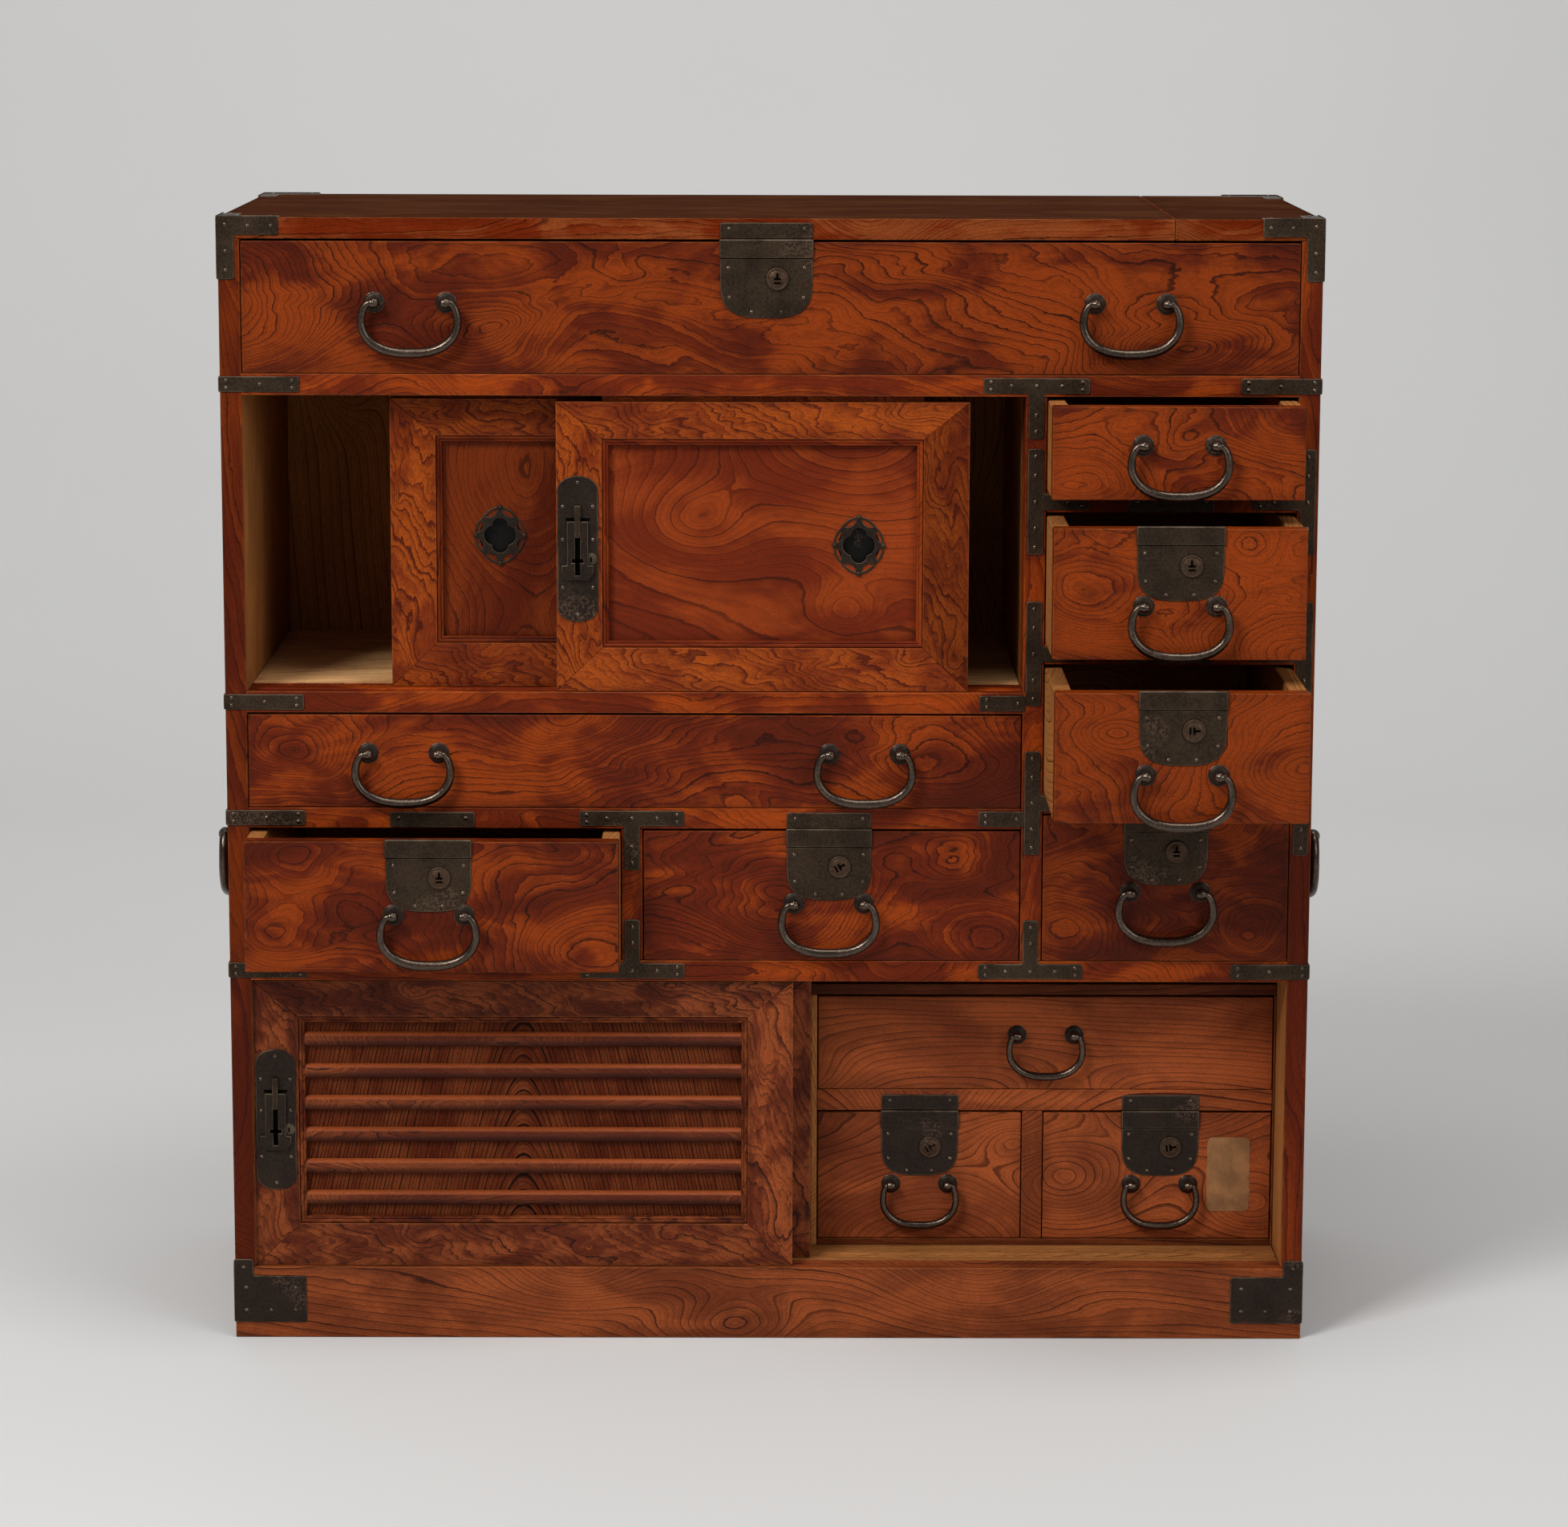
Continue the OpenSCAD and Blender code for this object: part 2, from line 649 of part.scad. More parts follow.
module side_handle_eyes() {
  for (s = [0, 1]) mirror([s, 0, 0])
    translate([case_w / 2, 0, side_bail_z]) rotate([0, 0, 90])
      eye_pair(side_bail_pins, side_eye_out, 0, side_eye_r, side_eye_wire, washer_r * 1.3);
}

// Handles. They are built at the middle of their two eyes, on a face that looks to -Y.

// A washer and a split pin at each end; the legs run into the board and are clenched behind it
module eye_pair(pins, out, board_t, hole_r = eye_r, wire = eye_wire, round_r = washer_r) {
  ring_r = hole_r + wire;
  leg_end = board_t > 0 ? board_t + 1.4 : hair;
  for (s = [-1, 1]) translate([s * pins / 2, 0, 0]) {
    rotate([90, 0, 0]) rotate_extrude()
      polygon([[leg_hole_r, 0], [round_r, 0], [round_r, 0.7], [round_r - 1.2, 1.6],
        [round_r - 3.8, washer_h - 0.3], [leg_hole_r, washer_h]]);
    translate([0, -out, 0]) rotate([0, 90, 0]) rotate_extrude() translate([ring_r, 0]) circle(wire);
    translate([0, leg_end, 0]) rotate([90, 0, 0]) cylinder(h = leg_end + out - ring_r, r = leg_r);
    if (board_t > 0) translate([0, leg_end, -8]) cylinder(h = 16, r = 1.1);
  }
}

// Radius of a bail's bar at a share of the way from its eye (0) to its lowest point (1)
function bar_r(t, start, waist, belly) = t < 0.35
  ? start + (waist - start) * t / 0.35
  : waist + (belly - waist) * (t - 0.35) / 0.65;

// The middle line of half a bail: a quarter ellipse out of the eye, then one down to the middle.
// Each entry is [x, z, x of the tangent, z of the tangent, share of the way].
function half_bail(w, pins, drop, waist, belly, wire, n1 = 6, n2 = 8) =
  let (x0 = pins / 2 + wire + 0.6, a = w / 2 - waist, fall = drop - belly, b = fall * 0.37, c = fall * 0.63)
  concat(
    [for (i = [0:n1 - 1]) let (u = 90 * i / n1)
      [x0 + (a - x0) * sin(u), -b + b * cos(u), (a - x0) * cos(u), -b * sin(u), 0.35 * i / n1]],
    [for (i = [0:n2]) let (u = 90 * i / n2)
      [a * cos(u), -b - c * sin(u), -a * sin(u), -c * cos(u), 0.35 + 0.65 * i / n2]]);

// The same line from the left eye round to the right one
function whole_bail(half) = concat(
  [for (p = half) [-p[0], p[1], -p[2], p[3], p[4]]],
  [for (i = [len(half) - 2:-1:0]) let (p = half[i]) [p[0], p[1], -p[2], -p[3], p[4]]]);

module bail(w, pins, drop, waist, belly, end_r = pin_r, wire = eye_wire) {
  sides = 8;
  line = whole_bail(half_bail(w, pins, drop, waist, belly, wire));
  points = [for (p = line) let (t = unit([p[2], p[3]]), r = bar_r(p[4], end_r + shoulder, waist, belly))
    for (k = [0:sides - 1]) let (u = 360 * (k + 0.5) / sides)
      [p[0] - t[1] * r * cos(u), r * sin(u), p[1] + t[0] * r * cos(u)]];
  last = (len(line) - 1) * sides;
  faces = concat(
    [[for (k = [sides - 1:-1:0]) k]],
    [for (i = [0:len(line) - 2], k = [0:sides - 1]) let (a = i * sides, n = (k + 1) % sides)
      [a + n, a + sides + n, a + sides + k, a + k]],
    [[for (k = [0:sides - 1]) last + k]]);
  polyhedron(points, faces);
  bead = end_r + bead_step;
  inner = wire + 0.5 + bead;
  for (s = [-1, 1]) translate([s * (pins / 2 - inner), 0, 0]) {
    rotate([0, s * 90, 0]) cylinder(h = inner + wire + 0.65, r = end_r);
    sphere(bead);
  }
}

module main_bail() color(iron) {
  bail(bail_w, bail_pins, bail_drop, 3.4, 4.5);
}

module small_bail() color(iron) {
  bail(small_bail_w, small_bail_pins, small_bail_drop, 2.8, 3.6);
}

module side_bail() color(iron) {
  translate([case_w / 2 + side_eye_out, 0, side_bail_z]) rotate([0, 0, 90])
    bail(side_bail_w, side_bail_pins, side_bail_drop, 4, 5.4, side_pin_r, side_eye_wire);
}

// Places its children at a handle's eyes: at x, a drop below the bay's top edge, on the drawer's face
module at_handle(x, bay, drop, inner = false, pull = 0, out = 0) {
  translate([x, face_y(inner) - pull - out, bay[3] - over_gap - drop]) children();
}

// Drawers

// The five boards of a drawer in its bay, pulled out by a distance. Eyes lists its handles' eyes, each
// as [x, drop below the top edge], and lock_x is its lock's place along X.
module drawer(bay, pull = 0, inner = false, eyes = [], lock_x = undef) {
  y0 = face_y(inner) - pull;
  ft = front_of(inner);
  st = side_of(inner);
  x0 = bay[0] + side_gap;
  x1 = bay[2] - side_gap;
  z0 = bay[1] + under_gap;
  z1 = bay[3] - over_gap;
  y1 = y0 + depth_of(inner);
  side_z1 = z1 - 1.5;
  color(keyaki) difference() {
    block([x0, y0, z0], [x1, y0 + ft, z1]);
    for (e = eyes) translate([e[0], y0 - 1, z1 - e[1]]) rotate([-90, 0, 0])
      cylinder(h = ft + 2, r = leg_hole_r);
    if (!is_undef(lock_x)) lock_pocket(lock_x, y0, ft, z1);
  }
  color(softwood) {
    for (x = [x0, x1 - st]) block([x, y0 + ft + seam, z0], [x + st, y1, side_z1]);
    block([x0 + st + seam, y1 - drawer_back_t, z0], [x1 - st - seam, y1, side_z1]);
    block([x0 + st + seam, y0 + ft + seam, z0 + 1],
      [x1 - st - seam, y1 - drawer_back_t - seam, z0 + 1 + bottom_t]);
  }
}

// The pocket behind a drawer front for a lock case, the slot for its bolt and the disc's hole
module lock_pocket(x, y0, ft, z1) {
  g = pocket_gap;
  cw = lock_case[0] / 2 + g;
  block([x - cw, y0 + ft - lock_case[1] - g, z1 - lock_case_drop - lock_case[2] - g],
    [x + cw, y0 + ft + 1, z1 - lock_case_drop + g]);
  block([x - bolt[0] / 2 - g, y0 + ft - lock_case[1] - g, z1 - lock_case_drop - 1],
    [x + bolt[0] / 2 + g, y0 + ft - lock_case[1] + bolt[1] + g, z1 + 1]);
  translate([x + disc_side, y0 - 1, z1 - disc_drop]) rotate([-90, 0, 0]) cylinder(h = ft, r = neck_hole_r);
}

module top_drawer() {
  drawer(top_bay, eyes = [for (s = [-1, 1], e = [-1, 1])
    [s * top_handle_x + e * bail_pins / 2, top_handle_drop]], lock_x = top_lock_x);
}

module wide_drawer() {
  drawer(wide_bay, eyes = [for (x = wide_handle_x, e = [-1, 1])
    [x + e * bail_pins / 2, wide_handle_drop]]);
}

module twin_drawer(i, bay, pull) {
  x = twin_handle_x[i];
  drawer(bay, pull, eyes = [for (e = [-1, 1]) [x + e * bail_pins / 2, twin_handle_drop]], lock_x = x);
}

module twin_drawer_left() {
  twin_drawer(0, twin_left_bay, pull_twin);
}

module twin_drawer_right() {
  twin_drawer(1, twin_right_bay, 0);
}

column_pulls = [pull_1, pull_2, pull_3, 0];

module column_drawer(i) {
  bay = column_bays[i];
  x = mid_x(bay);
  drawer(bay, column_pulls[i], lock_x = i > 0 ? x : undef,
    eyes = [for (e = [-1, 1]) [x + e * bail_pins / 2, column_handle_drops[i]]]);
}

module inner_drawer_top() {
  drawer(inner_top_bay, inner = true, eyes = [for (e = [-1, 1])
    [mid_x(inner_top_bay) + e * small_bail_pins / 2, inner_top_handle_drop]]);
}

module inner_drawer(i, bay) {
  x = inner_lock_x[i];
  drawer(bay, inner = true, lock_x = x,
    eyes = [for (e = [-1, 1]) [x + e * small_bail_pins / 2, inner_handle_drop]]);
}

// Locks

// Outline of a lock plate below its band: straight sides and a full curve at the bottom
function lock_outline(w, h) = let (straight = h * 0.45, deep = h - straight, power = 0.62, steps = 12)
  concat(
    [[w / 2, -band_h - seam], [-w / 2, -band_h - seam]],
    [for (i = [0:steps]) let (u = 180 * i / steps, c = cos(u), s = sin(u))
      [-w / 2 * sign(c) * pow(abs(c), power), -straight - deep * pow(s, power)]]);

// A lock on a drawer's face: plate, raised band, nails, lock case and bolt. Its origin is the middle
// of the drawer's top edge on its face.
module lock(size, ft) {
  w = size[0];
  h = size[1];
  difference() {
    upright(-plate_t, plate_t) polygon(lock_outline(w, h));
    translate([disc_side, 1, -disc_drop]) rotate([90, 0, 0]) cylinder(h = 4, r = neck_r + neck_fit);
  }
  block([-w / 2 - 0.6, -band_t, -band_h], [w / 2 + 0.6, 0, 0]);
  for (s = [-1, 1]) {
    nail(s * w * 0.41, -h * 0.34, -plate_t);
    nail(s * w * 0.4, -h * 0.73, -plate_t);
    nail(s * w * 0.16, -h * 0.92, -plate_t);
  }
  cw = lock_case[0] / 2;
  block([-cw, ft - lock_case[1], -lock_case_drop - lock_case[2]], [cw, ft, -lock_case_drop]);
  block([-bolt[0] / 2, ft - lock_case[1] + 1, -lock_case_drop + seam],
    [bolt[0] / 2, ft - lock_case[1] + bolt[1], -lock_case_drop + bolt[2]]);
}

// The round disc over a keyhole, with the neck that turns in the lock plate. Turn is its rest angle.
module disc(turn, ft) color(iron) {
  neck = ft - lock_case[1] - 0.5;
  rotate([0, turn, 0]) {
    difference() {
      translate([0, -plate_t - hair * 5, 0]) rotate([90, 0, 0]) cylinder(h = disc_t, r = disc_r);
      for (b = [[0, 2.2, 1.4, 4.4], [0, 0, 5.4, 1.4], [0, -3, 5.4, 1.2]])
        translate([b[0], -plate_t - disc_t, b[1]]) cube([b[2], 2, b[3]], center = true);
    }
    translate([0, neck, 0]) rotate([90, 0, 0]) cylinder(h = neck + plate_t + hair * 5, r = neck_r);
  }
}

module at_lock(x, bay, inner = false, pull = 0, to_disc = false) {
  translate([x + (to_disc ? disc_side : 0), face_y(inner) - pull,
    bay[3] - over_gap - (to_disc ? disc_drop : 0)]) children();
}

// Irons of each drawer

module drawer_eyes(x, bay, drop, pull = 0, inner = false) {
  at_handle(x, bay, drop, inner, pull)
    eye_pair(inner ? small_bail_pins : bail_pins, inner ? small_eye_out : eye_out, front_of(inner));
}

module top_drawer_irons() color(iron) {
  for (s = [-1, 1]) drawer_eyes(s * top_handle_x, top_bay, top_handle_drop);
  at_lock(top_lock_x, top_bay) lock(top_lock, front_t);
}

module wide_drawer_irons() color(iron) {
  for (x = wide_handle_x) drawer_eyes(x, wide_bay, wide_handle_drop);
}

module twin_drawer_irons(i, bay, pull) color(iron) {
  drawer_eyes(twin_handle_x[i], bay, twin_handle_drop, pull);
  at_lock(twin_handle_x[i], bay, pull = pull) lock(main_lock, front_t);
}

module column_drawer_irons(i) color(iron) {
  bay = column_bays[i];
  drawer_eyes(mid_x(bay), bay, column_handle_drops[i], column_pulls[i]);
  if (i > 0) at_lock(mid_x(bay), bay, pull = column_pulls[i]) lock(main_lock, front_t);
}

module inner_drawer_top_irons() color(iron) {
  drawer_eyes(mid_x(inner_top_bay), inner_top_bay, inner_top_handle_drop, inner = true);
}

module inner_drawer_irons(i, bay) color(iron) {
  drawer_eyes(inner_lock_x[i], bay, inner_handle_drop, inner = true);
  at_lock(inner_lock_x[i], bay, inner = true) lock(inner_lock, inner_front_t);
}

// Sliding doors. A door is built with its left lower front corner at the origin.

// One side of a mitred frame: a bar from corner a to corner b of the outline, with inner corners c and d
module mitred(a, b, c, d, y, t) {
  upright(y, t) polygon([a, b, c, d]);
}

// The mitred frame, mouldings and panel of a door. Hole is the middle of a finger pull, if it has one.
module door(w, h, tongue_up, hole = undef, slats = 0) {
  s = stile_w;
  b = door_bottom_h;
  t = h - door_top_h;
  g = seam / 2;
  m = moulding_w;
  color(keyaki) {
    mitred([0, g * 2], [s - g, b], [s - g, t], [0, h - g * 2], 0, door_t);
    mitred([w, g * 2], [w, h - g * 2], [w - s + g, t], [w - s + g, b], 0, door_t);
    mitred([g * 2, 0], [w - g * 2, 0], [w - s, b - g], [s, b - g], 0, door_t);
    mitred([s, t + g], [w - s, t + g], [w - g * 2, h], [g * 2, h], 0, door_t);
    tongue(s, w - s, -sill_groove + tongue_play, 0);
    tongue(s, w - s, h, h + tongue_up);
    moulding(s + g, b + g, w - s - g, t - g, m);
    difference() {
      block([s + 2 * g, panel_setback, b + 2 * g], [w - s - 2 * g, panel_setback + panel_t, t - 2 * g]);
      if (!is_undef(hole)) translate([hole[0], 0, hole[1]]) rotate([-90, 0, 0])
        cylinder(h = door_t, r = cup_d / 2 + pocket_gap);
    }
    for (i = [0:1:slats - 1])
      slat(s + m + g, w - s - m - g, (b + t) / 2 + (i - (slats - 1) / 2) * slat_pitch);
  }
}

module tongue(x0, x1, z0, z1) {
  y = (door_t - tongue_t) / 2;
  block([x0, y, z0], [x1, y + tongue_t, z1]);
}

// The bead round a panel, mitred at its corners
module moulding(x0, z0, x1, z1, m) {
  y = 2.5;
  t = panel_setback - y - seam;
  g = seam / 2;
  mitred([x0, z0 + g], [x0 + m, z0 + m + g], [x0 + m, z1 - m - g], [x0, z1 - g], y, t);
  mitred([x1, z0 + g], [x1, z1 - g], [x1 - m, z1 - m - g], [x1 - m, z0 + m + g], y, t);
  mitred([x0 + g, z0], [x1 - g, z0], [x1 - m - g, z0 + m], [x0 + m + g, z0 + m], y, t);
  mitred([x0 + m + g, z1 - m], [x1 - m - g, z1 - m], [x1 - g, z1], [x0 + g, z1], y, t);
}

// A half-round slat on the panel's face
module slat(x0, x1, z) {
  steps = 8;
  out = 6;
  y = panel_setback - seam;
  pts = [for (i = [0:steps]) let (u = 180 * i / steps)
    [y - out * pow(sin(u), 0.7), z - slat_h / 2 * cos(u)]];
  translate([x0, 0, 0]) rotate([90, 0, 90]) linear_extrude(x1 - x0) polygon(pts);
}

upper_door_h = cupboard_h - door_lift - upper_door_gap;
lower_door_h = lower_cupboard_h - door_lift - lower_door_gap;

// Puts a door at its left edge on the front (0) or rear (1) track of a cupboard
module on_track(x, setback, track, z0) {
  translate([x, front_y + setback + track * door_pitch, z0 + door_lift]) children();
}

module upper_front_door() {
  on_track(upper_front_x, upper_setback, 0, cup_z0)
    door(upper_door_w, upper_door_h, upper_door_gap + head_groove - tongue_play,
      [front_pull_at[0] - upper_front_x, front_pull_at[1] - cup_z0 - door_lift]);
}

module upper_rear_door() {
  on_track(upper_rear_x, upper_setback, 1, cup_z0)
    door(upper_door_w, upper_door_h, upper_door_gap + head_groove - tongue_play,
      [rear_pull_at[0] - upper_rear_x, rear_pull_at[1] - cup_z0 - door_lift]);
}

module lower_front_door() {
  on_track(lower_front_x + hair, lower_setback, 0, low_z0)
    door(lower_door_w, lower_door_h, lower_door_gap + head_groove - tongue_play, slats = slat_count);
}

module lower_rear_door() {
  on_track(lower_rear_x, lower_setback, 1, low_z0)
    door(lower_door_w, lower_door_h, lower_door_gap + head_groove - tongue_play, slats = slat_count);
}

// Door irons

// The long plate with arched ends, its nails and keyhole disc, and the stud and leaf that hold the
// hasp. A lock's parts are placed from its plate's middle.
module door_lock(at, y) {
  w = door_lock_w / 2;
  h = door_lock_h / 2;
  ends = [for (i = [0:12]) let (u = 180 * i / 12) [w * cos(u), h - w * 0.7 + w * 0.7 * sin(u)]];
  hasp_face = lock_disc_t + plate_t + 0.2 + hasp_t;
  translate([at[0], y, at[1]]) {
    difference() {
      upright(-plate_t, plate_t) polygon(concat(ends, [for (p = ends) -p]));
      block([-9.4, -plate_t - 1, 22.3], [9.4, 1, 24]);
    }
    for (n = [[0, h - 5.6], [-12, 33.7], [12, 33.7], [-12, 7.4], [12, 7.4], [-12, -31], [12, -31],
      [0, 5.6 - h]]) nail(n[0], n[1], -plate_t);
    translate([10.6, -plate_t + hair, -7.9]) rotate([90, 0, 0]) cylinder(h = lock_disc_t + hair, r = 5);
    block([-1.6, -hasp_face - 0.2, 9.6], [1.6, -plate_t + hair, 13]);
    block([-2.3, -hasp_face - 1.2, 9.3], [2.3, -hasp_face - 0.15, 35]);
    block([-2.3, -hasp_face - 0.2, 33], [2.3, -plate_t + hair, 35]);
  }
}

// The hasp: a slotted bar with a broad foot, which slides up on the stud
module hasp(at, y) color(iron) {
  face = lock_disc_t + plate_t + 0.2 + hasp_t;
  foot = [[8.5, -12.8], [8.5, 22.3], [-8.5, 22.3], [-8.5, -12.8], [-12.8, -12.8], [-12.8, -19],
    [-8.5, -24.8], [8.5, -24.8], [12.8, -19], [12.8, -12.8]];
  translate([at[0], y, at[1]]) difference() {
    upright(-face, hasp_t) polygon(foot);
    block([-1.95, -face - 1, -20.7], [1.95, 0, 13.3]);
    block([-4.5, -face - 1, -10.7], [4.5, 0, -7.9]);
  }
}

// Points of an arc from a to b that bulges to the right of the way there; b itself is left out
function bulged(a, b, bulge, steps = 6) = let (m = (a + b) / 2, d = unit([b[1] - a[1], a[0] - b[0]]) * bulge)
  [for (i = [0:steps - 1]) let (t = i / steps) a + (b - a) * t + d * 4 * t * (1 - t)];

function lens_hole(p, q) = concat(bulged(p, q, 0.9), bulged(q, p, 3));

// The eight joints of a finger pull's openwork, anticlockwise from its right stud
function pull_joints(k) = [[0.80, 0], [0.57, 0.57], [0, 0.94], [-0.57, 0.57], [-0.80, 0], [-0.57, -0.57],
  [0, -0.94], [0.57, -0.57]] * k;

// The openwork plate of a finger pull on the panel, its four studs, and the cup let into the panel
module finger_pull(at, y) {
  r = pull_d / 2;
  out = pull_joints(r);
  lens = pull_joints(r * 0.965);
  z0 = panel_setback - plate_t;
  translate([at[0], y, at[1]]) {
    difference() {
      upright(z0, plate_t) polygon([for (i = [0:7]) each bulged(out[i], out[(i + 1) % 8], 2)]);
      upright(z0 - 1, plate_t + 2) polygon(quatrefoil());
      for (i = [0:7]) let (a = lens[i], b = lens[(i + 1) % 8])
        upright(z0 - 1, plate_t + 2) polygon(lens_hole(a + (b - a) * 0.14, a + (b - a) * 0.86));
    }
    for (i = [0:2:6]) translate([out[i][0], z0 - hair, out[i][1]]) rotate([90, 0, 0])
      cylinder(h = 1.4, r1 = 2.4, r2 = 1.2);
    difference() {
      translate([0, panel_setback + cup_depth, 0]) rotate([90, 0, 0])
        cylinder(h = cup_depth - seam, r = cup_d / 2);
      upright(0, panel_setback + cup_depth - cup_t) polygon(quatrefoil());
    }
  }
}

// Outline of the cup: four lobes, the upper and lower ones longer than the side ones
function quatrefoil(steps = 40) = [for (i = [0:steps - 1])
  let (u = 360 * i / steps, r = 11.6 + 1.6 * cos(4 * u))
  [r * cos(u) * 0.94, r * sin(u) * 1.14]];

module upper_front_door_irons() color(iron) {
  y = front_y + upper_setback;
  door_lock(upper_lock_at, y);
  finger_pull(front_pull_at, y);
}

module upper_rear_door_irons() color(iron) {
  finger_pull(rear_pull_at, front_y + upper_setback + door_pitch);
}

module lower_front_door_irons() color(iron) {
  door_lock(lower_lock_at, front_y + lower_setback);
}

// The sub-parts that are one placed copy each

module side_handle_left() {
  mirror([1, 0, 0]) side_bail();
}

module side_handle_right() {
  side_bail();
}

module bail_at(x, bay, drop, pull = 0) {
  at_handle(x, bay, drop, pull = pull, out = eye_out) main_bail();
}

module small_bail_at(x, bay, drop) {
  at_handle(x, bay, drop, inner = true, out = small_eye_out) small_bail();
}

module column_handle(i) {
  bail_at(mid_x(column_bays[i]), column_bays[i], column_handle_drops[i], column_pulls[i]);
}

module disc_at(x, bay, turn, pull = 0) {
  at_lock(x, bay, pull = pull, to_disc = true) disc(turn, front_t);
}

module small_disc_at(i, bay, turn) {
  at_lock(inner_lock_x[i], bay, inner = true, to_disc = true) disc(turn, inner_front_t);
}

module column_disc(i, turn) {
  disc_at(mid_x(column_bays[i]), column_bays[i], turn, column_pulls[i]);
}

module column_drawer_1() {
  column_drawer(0);
}

module column_drawer_2() {
  column_drawer(1);
}

module column_drawer_3() {
  column_drawer(2);
}

module column_drawer_4() {
  column_drawer(3);
}

module inner_drawer_left() {
  inner_drawer(0, inner_left_bay);
}

module inner_drawer_right() {
  inner_drawer(1, inner_right_bay);
}

module twin_drawer_left_irons() {
  twin_drawer_irons(0, twin_left_bay, pull_twin);
}

module twin_drawer_right_irons() {
  twin_drawer_irons(1, twin_right_bay, 0);
}

module column_drawer_1_irons() {
  column_drawer_irons(0);
}

module column_drawer_2_irons() {
  column_drawer_irons(1);
}

module column_drawer_3_irons() {
  column_drawer_irons(2);
}

module column_drawer_4_irons() {
  column_drawer_irons(3);
}

module inner_drawer_left_irons() {
  inner_drawer_irons(0, inner_left_bay);
}

module inner_drawer_right_irons() {
  inner_drawer_irons(1, inner_right_bay);
}

module top_handle_left() {
  bail_at(-top_handle_x, top_bay, top_handle_drop);
}

module top_handle_right() {
  bail_at(top_handle_x, top_bay, top_handle_drop);
}

module wide_handle_left() {
  bail_at(wide_handle_x[0], wide_bay, wide_handle_drop);
}

module wide_handle_right() {
  bail_at(wide_handle_x[1], wide_bay, wide_handle_drop);
}

module twin_handle_left() {
  bail_at(twin_handle_x[0], twin_left_bay, twin_handle_drop, pull_twin);
}

module twin_handle_right() {
  bail_at(twin_handle_x[1], twin_right_bay, twin_handle_drop);
}

module column_handle_1() {
  column_handle(0);
}

module column_handle_2() {
  column_handle(1);
}

module column_handle_3() {
  column_handle(2);
}

module column_handle_4() {
  column_handle(3);
}

module inner_handle_top() {
  small_bail_at(mid_x(inner_top_bay), inner_top_bay, inner_top_handle_drop);
}

module inner_handle_left() {
  small_bail_at(inner_lock_x[0], inner_left_bay, inner_handle_drop);
}

module inner_handle_right() {
  small_bail_at(inner_lock_x[1], inner_right_bay, inner_handle_drop);
}

module top_lock_disc() {
  disc_at(top_lock_x, top_bay, 0);
}

module twin_left_lock_disc() {
  disc_at(twin_handle_x[0], twin_left_bay, 0, pull_twin);
}

module twin_right_lock_disc() {
  disc_at(twin_handle_x[1], twin_right_bay, 60);
}

module column_2_lock_disc() {
  column_disc(1, 0);
}

module column_3_lock_disc() {
  column_disc(2, 90);
}

module column_4_lock_disc() {
  column_disc(3, 0);
}

module inner_left_lock_disc() {
  small_disc_at(0, inner_left_bay, 60);
}

module inner_right_lock_disc() {
  small_disc_at(1, inner_right_bay, 80);
}

module upper_door_hasp() {
  hasp(upper_lock_at, front_y + upper_setback);
}

module lower_door_hasp() {
  hasp(lower_lock_at, front_y + lower_setback);
}

top_board();
side_boards();
frame_and_base();
back_boards();
inner_cabinet();
case_irons();
side_handle_left();
side_handle_right();
top_drawer();
wide_drawer();
twin_drawer_left();
twin_drawer_right();
column_drawer_1();
column_drawer_2();
column_drawer_3();
column_drawer_4();
inner_drawer_top();
inner_drawer_left();
inner_drawer_right();
top_drawer_irons();
wide_drawer_irons();
twin_drawer_left_irons();
twin_drawer_right_irons();
column_drawer_1_irons();
column_drawer_2_irons();
column_drawer_3_irons();
column_drawer_4_irons();
inner_drawer_top_irons();
inner_drawer_left_irons();
inner_drawer_right_irons();
top_handle_left();
top_handle_right();
wide_handle_left();
wide_handle_right();
twin_handle_left();
twin_handle_right();
column_handle_1();
column_handle_2();
column_handle_3();
column_handle_4();
inner_handle_top();
inner_handle_left();
inner_handle_right();
top_lock_disc();
twin_left_lock_disc();
twin_right_lock_disc();
column_2_lock_disc();
column_3_lock_disc();
column_4_lock_disc();
inner_left_lock_disc();
inner_right_lock_disc();
upper_front_door();
upper_rear_door();
lower_front_door();
lower_rear_door();
upper_front_door_irons();
upper_rear_door_irons();
lower_front_door_irons();
upper_door_hasp();
lower_door_hasp();
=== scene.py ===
"""A merchant's chest in lacquered zelkova and forged iron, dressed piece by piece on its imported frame."""

import math

import bpy
import numpy as np
from bpy.props import FloatProperty, FloatVectorProperty, PointerProperty
from bpy.types import Operator, Panel, PropertyGroup
from mathutils import Matrix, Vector
from mathutils.geometry import delaunay_2d_cdt


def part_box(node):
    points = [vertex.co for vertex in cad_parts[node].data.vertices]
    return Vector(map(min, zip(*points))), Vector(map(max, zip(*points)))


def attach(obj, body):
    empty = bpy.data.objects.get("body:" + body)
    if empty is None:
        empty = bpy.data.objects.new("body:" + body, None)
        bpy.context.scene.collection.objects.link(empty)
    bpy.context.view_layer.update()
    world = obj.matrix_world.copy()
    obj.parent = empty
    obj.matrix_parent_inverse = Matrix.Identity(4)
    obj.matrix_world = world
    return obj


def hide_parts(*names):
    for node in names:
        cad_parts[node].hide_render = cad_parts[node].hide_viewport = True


bl_info = {
    "name": "Merchant Chest",
    "version": (1, 0, 0),
    "blender": (4, 5, 0),
    "location": "3D View > Sidebar > Chest",
    "description": "Dresses the packed frame of a merchant's chest with boards, doors, irons and bails",
    "category": "Add Mesh",
}

